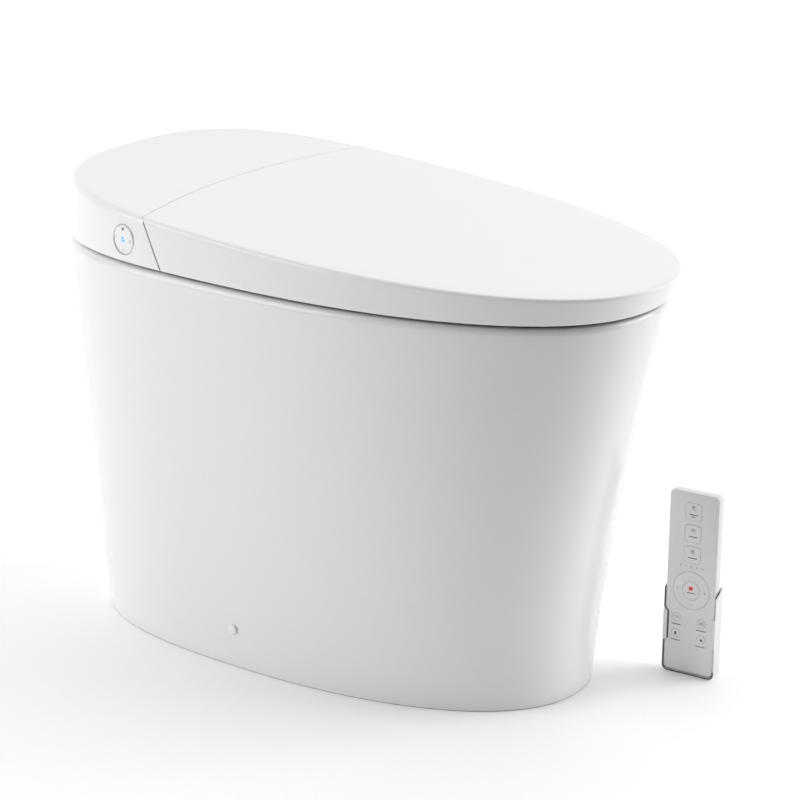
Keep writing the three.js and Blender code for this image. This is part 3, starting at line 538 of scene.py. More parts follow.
def make_stage():
    """Room, lamps and a table that shines faintly, more with the distance, and is grey far in front."""
    graded_world()
    half = 6.0
    floor = mesh_object("floor", [(x, y, 0) for x in (-half, half) for y in (-half, half)], [(0, 2, 3, 1)])
    mat, tree, shader = new_material("pale_floor", (FLOOR_WHITE,) * 3, 0.6)
    slow = noise(tree, 3.0).outputs["Fac"]
    tree.links.new(vary(tree, slow, 0.55, 0.65), shader.inputs["Roughness"])
    behind = lengthwise(tree, "Object", AWAY)
    shine = vary(tree, behind, TABLE_NEAR, TABLE_FAR, 0.3, 3.0, gentle=True)
    tree.links.new(shine, shader.inputs["Emission Strength"])
    shader.inputs["Emission Color"].default_value = (1, 1, 1, 1)
    paint = vary(tree, behind, FLOOR_GREY, FLOOR_WHITE, -0.95, -0.5)
    tree.links.new(paint, shader.inputs["Base Color"])
    floor.data.materials.append(mat)
    for name, bearing, power in SIDE_LIGHTS:
        side_light(name, bearing, power)
    remote_spot()
    bpy.context.scene.view_settings.view_transform = "Standard"


make_camera()
make_stage()


# ---- ceramic pan ----

def skirt_ring(inset, height):
    """The skirt's outline at a height. It flares from BASE to RIM, bowed by FLARE."""
    h = height / RIM_TOP
    low, high = outline(BASE, T, inset), outline(RIM, T, inset)
    s = np.sin(T)
    k = FLARE["side"] * np.cos(T) ** 2 + np.where(s < 0, FLARE["front"], FLARE["rear"]) * s ** 2
    law = (h + k * h * (h - 1))[:, None]
    p = low + (high - low) * law
    return np.column_stack([p, np.full(len(T), height)])


def ceramic_pan():
    """Skirt, rim and bowl as one closed surface: up outside, over the rim, down the bowl and back under."""
    foot, rim_edge, lip = 2.0, 8.5, 7.0
    wall, under = 14.0, 380.0
    rings = [skirt_ring(wall, h) for h in (under, 300.0, 150.0, 0.0)]
    rings += [skirt_ring(foot * d, foot * i) for i, d in quarter_round(4)]
    rings += [skirt_ring(0.0, h) for h in np.linspace(foot, RIM_TOP - rim_edge, 40)[1:]]
    rings += [skirt_ring(rim_edge * i, RIM_TOP - rim_edge * d) for i, d in quarter_round(9)[1:]]

    def bowl_ring(scale, z, grow=0.0):
        p = outline(BOWL, T, -grow)
        p = (p - [0, BOWL["centre"]]) * scale + [0, BOWL["centre"]]
        return np.column_stack([p, np.full(len(T), z)])

    outer = rings[-1]
    inner = bowl_ring(1.0, RIM_TOP, lip)
    rings += [outer * (1 - f) + inner * f for f in (0.15, 0.5, 0.85, 1.0)]
    rings += [bowl_ring(1.0, RIM_TOP - lip * i, lip * d) for i, d in quarter_round(8)[1:]]
    heights = [RIM_TOP - 30, 350, 300, 250, 205, 170, 150, 140, 136]
    scales = [1.0, 0.955, 0.88, 0.76, 0.6, 0.44, 0.32, 0.22, 0.1]
    rings += [bowl_ring(scale, z) for z, scale in zip(smooth(heights), smooth(scales))]
    bowl_wall = 12
    for scale, z in ((0.1, 136), (0.32, 150), (0.6, 205), (0.88, 300), (1.0, 395)):
        rings.append(bowl_ring(scale, z - bowl_wall, bowl_wall))
    rings.append(np.column_stack([outline(RIM, T, 30.0), np.full(len(T), 396.0)]))
    return ring_mesh("pan", rings, loop=True)


def smooth(values, per=4):
    """More values between the given ones, along a smooth curve (cubic Hermite)."""
    v = np.asarray(values, float)
    slope = np.gradient(v)
    out = []
    for a, b, m0, m1 in zip(v, v[1:], slope, slope[1:]):
        for f in np.arange(per) / per:
            out.append((2 * f ** 3 - 3 * f ** 2 + 1) * a + (f ** 3 - 2 * f ** 2 + f) * m0
                       + (-2 * f ** 3 + 3 * f ** 2) * b + (f ** 3 - f ** 2) * m1)
    return np.array(out + [v[-1]])


def swept(name, path, radius):
    """A round tube along a smooth path in the toilet's middle plane."""
    sides, steps = 40, 6
    line = np.column_stack([smooth([p[i] for p in path], steps) for i in (0, 1)])
    d = np.gradient(line, axis=0)
    d /= np.linalg.norm(d, axis=1)[:, None]
    a = np.linspace(0, 2 * math.pi, sides, endpoint=False)
    across, along = radius * np.cos(a), radius * np.sin(a)
    rings = [np.column_stack([across, y - dz * along, z + dy * along])
             for (y, z), (dy, dz) in zip(line, d)]
    return ring_mesh(name, rings)


# Middle line of the trapway from the bowl to the outlet in the floor, as (y, z)
TRAP = [(-70, 152), (-40, 112), (10, 100), (66, 128), (112, 190), (150, 205), (172, 160), (140, 98),
        (84, 60), (61, 26)]
OUTLET_Y, TRAP_R, TRAP_BORE = 60, 36.0, 27.0
pan = ceramic_pan()
boolean(pan, swept("trap_wall", TRAP[1:] + [(OUTLET_Y, 0.5)], TRAP_R), "UNION")
boolean(pan, swept("trap_bore", TRAP + [(OUTLET_Y, -6)], TRAP_BORE))
# The service pocket, the window in the back wall and the nozzle's channel
boolean(pan, box_object(-100, 100, 206, 300, 380, 440))
boolean(pan, box_object(-60, 60, 290, 370, 300, 385))
boolean(pan, box_object(-17, 17, 40, 182, 392, 440))
dress(pan, GLAZE, "root", "ceramic", "ceramic_pan")


# ---- lid and rear cover ----

def lid():
    obj = ring_mesh("lid", shell_rings(0, SHELL_BOTTOM, 0, 4.0, 0.8))
    inner = ring_mesh("inner", shell_rings(SHELL_WALL, SHELL_BOTTOM - 8, SHELL_WALL, 4.0))
    boolean(obj, seam_block(-1, SEAM_HALF), "INTERSECT")
    boolean(obj, inner)
    return obj


def rear_cover():
    front_wall = 2.85
    obj = ring_mesh("cover", shell_rings(0, SHELL_BOTTOM, 0, 7.0, 0.8))
    inner = ring_mesh("inner", shell_rings(SHELL_WALL, SHELL_BOTTOM - 8, SHELL_WALL, 5.0))
    boolean(obj, seam_block(1, SEAM_HALF), "INTERSECT")
    boolean(inner, seam_block(1, SEAM_HALF + front_wall), "INTERSECT")
    boolean(obj, inner)
    for x in SLOTS:
        boolean(obj, box_object(x - 6.5, x + 6.5, 120, 196, 420, 478.2))
    boolean(obj, box_object(-14, 14, 120, 176, 420, 448))     # the nozzle's opening
    for x0, x1 in AIR_OPENINGS.values():
        boolean(obj, box_object(x0, x1, 120, 182, AIR_LOW, AIR_HIGH))
    hole_r = KNOB_R + 0.55
    hole = [(ON_AXIS, -20), (hole_r, -20), (hole_r, 14), (ON_AXIS, 14)]
    boolean(obj, lathe("hole", hole, KNOB, -KNOB_OUT))
    return obj


def lid_liner():
    """Plate under the lid, with the lid's own dome and rounded edges."""
    def level(inset, drop, scale=1.0):
        p = (outline(CREST, T, inset) - TOP_MIDDLE) * scale + TOP_MIDDLE
        return np.column_stack([p, top_height(p[:, 1]) - drop + crown(p)])

    rings = [level(9.0, 5.9, k) for k in (0.05, 0.3, 0.55, 0.75, 0.9, 0.97, 1.0)]
    rings += [level(7.4, 5.6), level(7.0, 5.0), level(7.4, 4.1)]
    rings += [level(9.0, 3.8, k) for k in (1.0, 0.9, 0.55, 0.3, 0.05)]
    obj = ring_mesh("lid_liner", rings)
    boolean(obj, seam_block(-1, 4.5), "INTERSECT")
    return obj


def seam_painted_shade():
    """Dark strip down the seam's sides, set back from the surface and fixed to the rear cover: painted
    shade that darkens the seam between lid and rear cover.
    """
    obj = ring_mesh("seam_painted_shade", shell_rings(0.5, SHELL_BOTTOM + 1.0, 3.6, 3.0))
    boolean(obj, ring_mesh("inner", shell_rings(2.2, SHELL_BOTTOM - 8, 5.3, 2.0)))
    boolean(obj, seam_block(1, -0.45), "INTERSECT")
    boolean(obj, seam_block(-1, -1.0), "INTERSECT")
    boolean(obj, box_object(-130, 130, 60, 260, 400, 520))
    return obj


dress(lid(), WHITE, "lid", "white_plastic", "lid_shell")
# A dark strip inside the seam: painted shade for the gap between lid and rear cover
dress(seam_painted_shade(), DARK, "root", "rubber")
dress(rear_cover(), WHITE, "root", "white_plastic", "rear_cover")
dress(lid_liner(), SEAT_WHITE, "lid", "light_plastic", "lid_liner")


def pad(name, x, y, top, thick, radius, body):
    """A soft round pad with a domed foot, stuck up under a surface."""
    profile = [(ON_AXIS, 0), (radius, 0), (radius, thick * 0.55), (radius * 0.93, thick * 0.8),
               (radius * 0.75, thick * 0.95), (ON_AXIS, thick)]
    dress(lathe(name, profile, (x, y, top), (0, 0, -1), 40), RUBBER, body, "rubber")


for side in (-1, 1):
    pad("lid_pad", side * 95.0, -205.0, top_height(-205.0) - 5.0, 3.2, 6.0, "lid")

# Seal of sanitary silicone along the foot of the ceramic, coloured grey as painted contact shade along the
# base
seal_profile = ((6.0, 0.0), (0.9, 0.0), (0.5, 0.5), (0.9, 1.6), (6.0, 2.6), (12.0, 2.6))
seal = ring_mesh("floor_seal", [skirt_ring(inset, height) for inset, height in seal_profile], loop=True)
dress(seal, SEAL_AND_SHADE, "root", "rubber")


# ---- heated seat: a cushion-shaped ring with a dark base, its dark colour painted shade for the gap under the lid ----

SEAT_AT = np.array([0.0, -75.0])
SEAT_GAP = 31.0
THETA = np.linspace(0, 2 * math.pi, AROUND, endpoint=False)


def reach_of(curve):
    """Distance from the seat's middle to a closed curve, for every direction in THETA."""
    rel = curve - SEAT_AT
    angle = np.arctan2(rel[:, 1], rel[:, 0]) % (2 * math.pi)
    order = np.argsort(angle)
    return np.interp(THETA, angle[order], np.linalg.norm(rel, axis=1)[order], period=2 * math.pi)


def seam_reach(offset, height):
    """Distance from the seat's middle to a line that runs offset in front of the seam."""
    tiny, flat, far = 1e-9, 1e-6, 1e4
    a = SEAM["sag"] * (np.cos(THETA) / SEAM["half"]) ** 2
    b = np.sin(THETA)
    c = SEAM["centre_y"] - offset - SEAT_AT[1] + SEAM["lean"] * (height - SEAM["height"])
    reach = (-b + np.sqrt(b ** 2 + 4 * a * c)) / np.maximum(2 * a, tiny)
    straight = c / np.maximum(b, flat)
    return np.where((b < 0.02) & (a < flat), far, np.where(a < flat, straight, reach))


DENSE = np.linspace(0, 2 * math.pi, 4000, endpoint=False)


def outer_reach(inset, height):
    """The seat's outer edge: inset from the lid's sides and SEAT_GAP in front of the seam."""
    wall_height = 55.0
    v = (height - SHELL_BOTTOM) / wall_height
    low, high = reach_of(outline(RIM, DENSE, inset)), reach_of(outline(CREST, DENSE, inset))
    sides = low * (1 - v) + high * v
    behind = seam_reach(SEAT_GAP, height)
    sharp = 22.0
    return (sides ** -sharp + behind ** -sharp) ** (-1 / sharp)


def seat_ring(reach, height):
    p = SEAT_AT + np.column_stack([np.cos(THETA), np.sin(THETA)]) * np.asarray(reach)[:, None]
    return np.column_stack([p, np.broadcast_to(height, len(THETA))])


def seat_surface(reach, drop):
    y = SEAT_AT[1] + np.sin(THETA) * reach
    return top_height(y) - drop


def seat_top():
    low, outer_edge, inner_edge, drop, dish = 440.0, 8.0, 12.0, 9.5, 3.5
    hole = reach_of(outline(SEAT_HOLE, DENSE))
    foot = outer_reach(7.5, low)
    crest = outer_reach(7.8, 455.0)
    z_out = seat_surface(crest, drop)
    rings = [seat_ring(foot - 1.2, low), seat_ring(foot - 0.4, low + 0.4), seat_ring(foot, low + 1.2)]
    for f in (0.35, 0.7):
        height = (low + 1.2) * (1 - f) + (z_out - outer_edge) * f
        rings.append(seat_ring(foot * (1 - f) + crest * f, height))
    edge = np.minimum(outer_edge, (z_out - low - 1.2) * 0.9)
    rings += [seat_ring(crest - edge * i, z_out - edge * d) for i, d in quarter_round(8)]
    start = crest - edge
    stop = hole + inner_edge
    for f in np.linspace(0, 1, 12)[1:-1]:
        r = start * (1 - f) + stop * f
        hollow = dish * math.sin(math.pi * f ** 0.8) ** 1.5
        rings.append(seat_ring(r, seat_surface(r, drop + hollow + 1.5 * f)))
    z_in = seat_surface(stop, drop + 1.5)
    fall = np.minimum(inner_edge, (z_in - low - 2) * 0.9)
    rings += [seat_ring(hole + inner_edge * i, z_in - fall * d) for i, d in quarter_round(8)[::-1]]
    rings += [seat_ring(hole, low + 1.0), seat_ring(hole + 1.0, low)]
    return ring_mesh("seat_top", rings, loop=True)


def seat_base():
    low, high = 431.0, 439.6
    hole = reach_of(outline(SEAT_HOLE, DENSE)) + 0.8
    foot = outer_reach(9.0, 435.0)
    rings = [seat_ring(hole + 1.5, low), seat_ring(foot - 1.5, low), seat_ring(foot - 0.4, low + 0.4),
             seat_ring(foot, low + 1.5), seat_ring(foot, high - 0.6), seat_ring(foot - 0.6, high),
             seat_ring(hole + 0.6, high), seat_ring(hole, high - 0.6), seat_ring(hole, low + 1.5)]
    return ring_mesh("seat_base", rings, loop=True)


def arm_and_nozzle_room(obj):
    for x in (44, -44):
        boolean(obj, box_object(x - 5.4, x + 5.4, 106, 220, 420, 451))
    boolean(obj, box_object(-19, 19, 50, 220, 400, 448))
    return obj


dress(arm_and_nozzle_room(seat_top()), SEAT_WHITE, "seat", "white_plastic",
      "seat_upper_shell", "seat_heater")
# The seat's base is a real part, coloured dark as painted shade for the gap between lid and ceramic
dress(arm_and_nozzle_room(seat_base()), DARK, "seat", "dark_plastic", "seat_lower_shell")
bumper_profile = [(ON_AXIS, 0), (7.8, 0), (8.8, 0.9), (9.0, 2.4), (8.4, 4.6), (6.5, 5.4), (ON_AXIS, 5.55)]
for side, name in ((1, "left"), (-1, "right")):
    obj = lathe("seat_bumper", bumper_profile, (side * 118.0, -225.0, 430.9), (0, 0, -1), 40)
    dress(obj, RUBBER, "seat", "rubber", "seat_bumper_" + name)


# ---- openings in the front of the rear cover ----

def bars(name, x0, x1, z0, z1, count):
    """A grille of rounded upright bars, following the seam's lean."""
    sides, half_wide, half_deep, behind_seam = 12, 0.9, 1.4, 3.2
    points, faces = [], []
    a = np.linspace(0, 2 * math.pi, sides, endpoint=False)
    for i in range(count):
        x = x0 + (x1 - x0) * (i + 0.5) / count
        rings = []
        for z in np.linspace(z0, z1, 4):
            y = seam_y(x, z) + behind_seam
            rings.append(np.column_stack([x + half_wide * np.cos(a), y + half_deep * np.sin(a),
                                          np.full(sides, z)]))
        bar_points, bar_faces = ring_surface(rings)
        faces += [tuple(len(points) + k for k in face) for face in bar_faces]
        points += list(bar_points)
    return mesh_object(name, place(points), faces)


for name, (x0, x1) in AIR_OPENINGS.items():
    dress(bars(name, x0, x1, AIR_LOW - 0.5, AIR_HIGH + 0.5, 6), GREY, "root", "grey_plastic")


# ---- side knob ----

def at_knob(points):
    """Knob millimetres (x out of the cover, y towards the wall, z up) to frame metres."""
    p = np.asarray(points, float)
    along, up = np.array([math.sin(KNOB_YAW), math.cos(KNOB_YAW), 0.0]), np.array([0, 0, 1.0])
    return place(KNOB + p[..., 0:1] * KNOB_OUT + p[..., 1:2] * along + p[..., 2:3] * up)


def ribbon(points, width):
    """The left and right edges of a stroke along points."""
    p = np.asarray(points, float)
    d = np.gradient(p, axis=0)
    d /= np.linalg.norm(d, axis=1)[:, None]
    n = np.column_stack([-d[:, 1], d[:, 0]]) * width / 2
    return p + n, p - n


def printed(name, lines, width, low, high, spread, transform):
    """Printed strokes: thin raised ribbons. spread(u, v, height) puts them on a surface."""
    verts, faces = [], []
    for line in lines:
        left, right = ribbon(line, width)
        base = len(verts)
        for (lu, lv), (ru, rv) in zip(left, right):
            verts += [spread(lu, lv, low), spread(ru, rv, low),
                      spread(ru, rv, high), spread(lu, lv, high)]
        n = len(left)
        for i in range(n - 1):
            a, b = base + 4 * i, base + 4 * i + 4
            for k in range(4):
                j = (k + 1) % 4
                faces.append((a + k, a + j, b + j, b + k))
        faces += [(base, base + 3, base + 2, base + 1),
                  tuple(base + 4 * (n - 1) + k for k in (0, 1, 2, 3))]
    return mesh_object(name, transform(np.array(verts, float)), faces)


def arc(cx, cy, r, a0, a1, count=14):
    """Points of an arc between two angles in degrees."""
    a = np.radians(np.linspace(a0, a1, count))
    return np.column_stack([cx + r * np.cos(a), cy + r * np.sin(a)])


def bar(cx, cy, length):
    """A level stroke, which stands for a word or a line of a sign."""
    return [(cx - length / 2, cy), (cx, cy), (cx + length / 2, cy)]


def spot(name, u, v, r, low, high, spread, transform, sides=20):
    """A printed dot with a softened edge."""
    a = np.linspace(0, 2 * math.pi, sides, endpoint=False)
    rings = [np.array([spread(u + r * k * math.cos(t), v + r * k * math.sin(t), h) for t in a])
             for k, h in ((1.0, low), (1.0, high * 0.7 + low * 0.3), (0.8, high))]
    return ring_mesh(name, rings, transform=transform)


def bezel():
    """A thin ring in the gap between knob and cover."""
    profile = [(0.15, -7.0), (0.15, -0.3), (0.25, -0.05), (0.5, -0.05), (0.54, -0.2), (0.54, -7.0)]
    return turned_ring("knob_bezel", [(KNOB_R + gap, out) for gap, out in profile], at_knob)


def turned_ring(name, profile, transform, axis="x", centre=(0, 0)):
    """A ring turned from a closed profile of (radius, distance out)."""
    sides = 72
    a = np.linspace(0, 2 * math.pi, sides, endpoint=False)
    rings = []
    for radius, out in profile:
        u, v = centre[0] + radius * np.cos(a), centre[1] + radius * np.sin(a)
        o = np.full(sides, out)
        rings.append(np.column_stack([o, u, v] if axis == "x" else [u, o, v]))
    return ring_mesh(name, rings, loop=True, transform=transform)


CAP_FACE = 0.9                      # the middle of the cap stands this far out of the knob's origin
MARK = (-0.05, 0.06)                # lowest and highest point of a print on the cap


def cap_height(r):
    """The knob's face is slightly domed."""
    return CAP_FACE - 0.55 * (r / KNOB_R) ** 2


def knob_cap():
    r = KNOB_R - 0.25
    profile = [(ON_AXIS, -2.2), (r, -2.2), (r, cap_height(r) - 0.7), (r - 0.2, cap_height(r) - 0.25),
               (r - 0.7, cap_height(r))]
    profile += [(k * r, cap_height(k * r)) for k in (0.85, 0.65, 0.4, 0.2)] + [(ON_AXIS, CAP_FACE)]
    return lathe("knob_cap", profile, (0, 0, 0), (1, 0, 0), 72, transform=at_knob)


def on_cap(u, v, height):
    """Above the knob's domed face."""
    return (cap_height(math.hypot(u, v)) + height, u, v)


dress(bezel(), LIGHT, "root", "light_plastic", "knob_bezel")
dress(knob_cap(), WHITE, "knob_pressed", "white_plastic", "knob_cap")
obj = spot("knob_sensor", 0.3, 11.2, 1.6, *MARK, on_cap, at_knob)
dress(obj, DARK, "knob_pressed", "dark_plastic")
obj = printed("knob_light", [bar(0.7, 1.5, 4.0), bar(-0.5, -1.3, 4.0)], 2.3, *MARK, on_cap, at_knob)
dress(obj, LED, "knob_pressed", "blue_tube")
knob_marks = [[(12.7, 2.6), (11.3, -0.8), (9.9, 2.6)], arc(-10.6, 0.2, 1.5, 20, 340),
              [(-1.3, -11.4), (0, -9.8), (1.3, -11.4)], [(-1.2, -12.6), (1.2, -12.6)]]
obj = printed("knob_marks", knob_marks, 0.32, *MARK, on_cap, at_knob)
dress(obj, PRINT, "knob_pressed", "dark_plastic")

# Caps over the floor screws: a stem in the skirt and a domed head
cap_profile = [(ON_AXIS, -17.0), (3.9, -17.0), (3.9, 0.6), (CAP_R, 0.6), (CAP_R, 1.5), (CAP_R - 0.35, 2.1),
               (CAP_R - 1.1, 2.45), (2.6, 2.75), (ON_AXIS, 2.8)]
for side, name in ((1, "left"), (-1, "right")):
    obj = lathe("fixing_cap", cap_profile, (side * CAP_X, CAP_Y, CAP_Z), (side, 0, 0), 48)
    dress(obj, WHITE, "root", "white_plastic", "fixing_cap_" + name)


# ---- hand remote in its cradle ----

YAW, LEAN = math.radians(REMOTE["yaw"]), math.radians(REMOTE["lean"])
MID = REMOTE["wide"] / 2
FOOT, SIDE, CORNER = 3.1, 1.9, 5.0
FAR_SIDE = REMOTE["wide"] - SIDE
PANEL_FACE, PANEL_BACK = 0.3, 2.4
KEY_FACE = 0.05
KEY_MARK = (-0.12, 0.05)            # lowest and highest point of a print on a key


def at_remote(points):
    """Remote millimetres (x across, y from the panel to the back, z up) to frame metres."""
    p = np.asarray(points, float)
    across = np.array([math.cos(YAW), math.sin(YAW), 0])
    deep = np.array([-math.sin(YAW) * math.cos(LEAN), math.cos(YAW) * math.cos(LEAN), -math.sin(LEAN)])
    up = np.array([-math.sin(YAW) * math.sin(LEAN), math.cos(YAW) * math.sin(LEAN), math.cos(LEAN)])
    origin = np.array([REMOTE["x"], REMOTE["y"], 0])
    return place(origin + p[..., 0:1] * across + p[..., 1:2] * deep + p[..., 2:3] * up)


def rounded_rect(x0, x1, z0, z1, r, inset):
    """Outline of a rounded rectangle, moved in by inset."""
    r = max(r - inset, 0.05)
    x0, x1, z0, z1 = x0 + inset, x1 - inset, z0 + inset, z1 - inset
    out = []
    corners = ((x1 - r, z0 + r, -90), (x1 - r, z1 - r, 0), (x0 + r, z1 - r, 90), (x0 + r, z0 + r, 180))
    for cx, cz, start in corners:
        out.append(arc(cx, cz, r, start, start + 90, 9))
    return np.concatenate(out)


def slab(name, x0, x1, z0, z1, y0, y1, r, front=0.0, back=0.0, dome=0.0):
    """A rounded plate with rounded front and back edges and a slightly domed front."""
    def ring(inset, y):
        p = rounded_rect(x0, x1, z0, z1, r, inset)
        return np.column_stack([p[:, 0], np.full(len(p), y), p[:, 1]])

    rings = []
    centre = np.array([(x0 + x1) / 2, 0, (z0 + z1) / 2])
    quarter = quarter_round(5)
    for k in (0.15, 0.5, 0.8):
        inner = ring(front, 0.0)
        p = (inner - centre) * [k, 0, k] + centre
        rings.append(p + [0, y0 - dome * (1 - k ** 2), 0])
    rings += [ring(front * i, y0 + front * d) for i, d in (quarter[::-1] if front else quarter[:1])]
    rings += [ring(back * i, y1 - back * d) for i, d in (quarter if back else quarter[:1])]
    return ring_mesh(name, rings, transform=at_remote)


KEYS = {
    "key_rear_wash": ("square", -0.8, 181.3), "key_front_wash": ("square", -0.4, 157.6),
    "key_dryer": ("square", 0.0, 134.2), "key_ring": ("ring", 0.3, 94.5), "key_stop": ("stop", 0.3, 94.5),
    "key_seat_heat": ("small", -15.1, 62.4), "key_water_heat": ("small", -15.5, 44.6),
    "key_massage": ("small", 13.6, 60.5), "key_light": ("small", 13.7, 42.8),
}
SQUARE, RING_R, STOP_R, SMALL_R = 9.2, 20.6, 9.9, 4.7
SLIT = 0.22                         # gap between a key and the panel


def key_body(name, kind, x, z, grow=0.0, cutter=False):
    """A key with softened edges, or the plain body that cuts its hole in the panel."""
    cx = MID + x
    if kind == "square":
        h = SQUARE + grow
        y0, y1 = (-2.0, 5.0) if cutter else (KEY_FACE, 3.2)
        return slab(name, cx - h, cx + h, z - h, z + h, y0, y1, 3.6 + grow, 0 if cutter else 0.35, 0,
                    0 if cutter else 0.12)
    if cutter:
        r = (RING_R if kind == "ring" else SMALL_R) + grow
        profile = [(ON_AXIS, -5.0), (r, -5.0), (r, 2.0), (ON_AXIS, 2.0)]
        return lathe(name, profile, (cx, 0, z), (0, -1, 0), 64, transform=at_remote)
    if kind == "ring":
        inner = STOP_R + SLIT
        profile = [(inner, 3.0), (inner, KEY_FACE + 0.3), (inner + 0.3, KEY_FACE),
                   (inner + 2.5, KEY_FACE + 0.1), (15.4, KEY_FACE + 0.35), (RING_R - 2.5, KEY_FACE + 0.1),
                   (RING_R - 0.3, KEY_FACE), (RING_R, KEY_FACE + 0.3), (RING_R, 3.0)]
        return turned_ring(name, profile, at_remote, "y", (cx, z))
    r = STOP_R if kind == "stop" else SMALL_R
    profile = [(ON_AXIS, -3.2), (r, -3.2), (r, -KEY_FACE - 0.35), (r - 0.1, -KEY_FACE - 0.12),
               (r - 0.4, -KEY_FACE), (r * 0.6, -KEY_FACE + 0.1), (ON_AXIS, -KEY_FACE + 0.15)]
    return lathe(name, profile, (cx, 0, z), (0, -1, 0), 48, transform=at_remote)


def remote_panel():
    obj = slab("remote_panel", SIDE, FAR_SIDE, FOOT, REMOTE["tall"], PANEL_FACE, PANEL_BACK, CORNER, 0.35)
    for kind, x, z in KEYS.values():
        if kind != "stop":
            boolean(obj, key_body("cut", kind, x, z, SLIT, cutter=True))
    return obj


def remote_back():
    wall = 2
    front, tall, thick = PANEL_BACK + 0.15, REMOTE["tall"], REMOTE["thick"]
    obj = slab("remote_back", SIDE, FAR_SIDE, FOOT, tall, front, thick, CORNER, 0.25, 2.2)
    boolean(obj, slab("inside", SIDE + wall, FAR_SIDE - wall, FOOT + wall, tall - wall, 0.0,
                      thick - wall, 3.4))
    return obj


dress(remote_panel(), PANEL, "remote", "panel_plastic", "remote_front_panel")
dress(remote_back(), CASE_WHITE, "remote", "white_plastic", "remote_back_shell")
for name, (kind, x, z) in KEYS.items():
    dress(key_body(name + "_top", kind, x, z), KEY, name, "panel_plastic", name)


def on_key(u, v, height):
    """Above the faces of the keys, dome included."""
    return (MID + u, KEY_FACE - 0.13 - height, v)


def on_panel(u, v, height):
    return (MID + u, PANEL_FACE - height, v)


def key_print(name, lines, width):
    obj = printed(name + "_print", lines, width, *KEY_MARK, on_key, at_remote)
    dress(obj, PRINT, name, "dark_plastic")


def moved(lines, x, z):
    return [np.asarray(line, float) + [x, z] for line in lines]


# Generic pictures: a spray under a seat's edge, a fan of water, warm air; bars stand for the words
SPRAY = [[(-2.6, 5.6), (0.0, 3.4), (2.6, 1.2)], [(-2.6, 1.4), (-0.9, 3.0)], [(0.9, 4.2), (2.6, 6.0)],
         arc(-0.2, 5.4, 0.9, 0, 330, 12)]
FAN = [arc(0, 2.6, 2.6, 20, 160), arc(0, 2.6, 1.3, 10, 170), [(0, 1.2), (0, 2.4)],
       [(-2.2, 1.8), (-1.2, 2.6)], [(2.2, 1.8), (1.2, 2.6)]]
WARM = [np.column_stack([u + 0.55 * np.sin(np.linspace(0, 2 * math.pi, 12)), np.linspace(1.2, 5.6, 12)])
        for u in (-1.7, 0.0, 1.7)]
for name, picture, words in (("key_rear_wash", SPRAY, ((-3.3, 9.6), (-5.6, 4.0))),
                             ("key_front_wash", FAN, ((-3.6, 9.6),)),
                             ("key_dryer", WARM, ((-3.6, 10.4),))):
    kind, x, z = KEYS[name]
    key_print(name, moved(picture, x, z), 0.45)
    key_print(name, moved([bar(0, v, w) for v, w in words], x, z), 0.95)

ring_x, ring_z = KEYS["key_ring"][1:]
ring_marks = [[(-1.5, 15.3), (0, 16.9), (1.5, 15.3)], [(-1.5, -15.3), (0, -16.9), (1.5, -15.3)],
              bar(-16.4, 0.4, 2.6), bar(15.2, 0.0, 2.6), [(15.2, -1.3), (15.2, 0.0), (15.2, 1.3)]]
obj = printed("key_ring_print", moved(ring_marks, ring_x, ring_z), 0.5, -0.3, 0.0,
              lambda u, v, h: (MID + u, KEY_FACE + 0.3 - h, v), at_remote)
dress(obj, PRINT, "key_ring", "dark_plastic")
key_print("key_stop", moved([bar(0, -2.6, 9.6)], ring_x, ring_z), 0.8)
square = moved([bar(-0.4, 2.4, 4.0)], ring_x, ring_z)
obj = printed("key_stop_mark_print", square, 4.0, *KEY_MARK, on_key, at_remote)
dress(obj, RED, "key_stop", "heater_copper")

SMALL_PICTURES = {
    "key_seat_heat": [arc(-1.0, 0, 1.6, 90, 270), [(0.4, -1.6), (0.4, 1.6)], arc(0.6, 0.0, 1.5, -60, 60)],
    "key_massage": [arc(-1.2, 0, 1.2, 30, 330), [(0.2, -1.5), (0.2, 1.5)], arc(1.4, 0, 1.3, 0, 330)],
}
for name, lines in SMALL_PICTURES.items():
    key_print(name, moved(lines, *KEYS[name][1:]), 0.4)


def drop_shape(name, x, z, lean, top):
    """A solid water drop, turned by lean and cut off above top."""
    size, wide, tall = 1.55, 0.82, 1.35
    a = np.linspace(0, 2 * math.pi, 24, endpoint=False)
    r = size * (1 - 0.32 * np.cos(a))
    u, v = r * np.sin(a) * wide, np.minimum(r * np.cos(a) * tall, top)
    c, s = math.cos(lean), math.sin(lean)
    u, v = u * c - v * s, u * s + v * c
    rings = [np.array([on_key(x + p, z + q, h) for p, q in zip(u, v)]) for h in KEY_MARK]
    dress(ring_mesh(name + "_print", rings, transform=at_remote), PRINT, name, "dark_plastic")


drop_shape("key_water_heat", *KEYS["key_water_heat"][1:], 0.0, 9.0)
drop_shape("key_light", *KEYS["key_light"][1:], 0.5, 0.35)

panel_lines = [bar(KEYS[n][1] - 0.3, KEYS[n][2] - 8.2, 10.6) for n in
               ("key_seat_heat", "key_water_heat", "key_massage", "key_light")]
obj = printed("panel_words", panel_lines, 0.9, -0.05, 0.05, on_panel, at_remote)
dress(obj, PRINT, "remote", "dark_plastic")
for u, r in ((-12.6, 0.62), (-6.5, 0.5), (-0.8, 0.62), (5.6, 0.5), (12.0, 0.62)):
    dot = spot("level_dot", u, 121.0, r, -0.05, 0.05, on_panel, at_remote, 14)
    dress(dot, PRINT, "remote", "dark_plastic")


def wedge(name, x0, x1, corners):
    """A block across the remote from x0 to x1, with four corners (y, z)."""
    points = [(x, y, z) for x in (x0, x1) for y, z in corners]
    faces = [(0, 1, 2, 3), (4, 7, 6, 5), (0, 4, 5, 1), (1, 5, 6, 2), (2, 6, 7, 3), (3, 7, 4, 0)]
    return mesh_object(name, at_remote(points), faces)


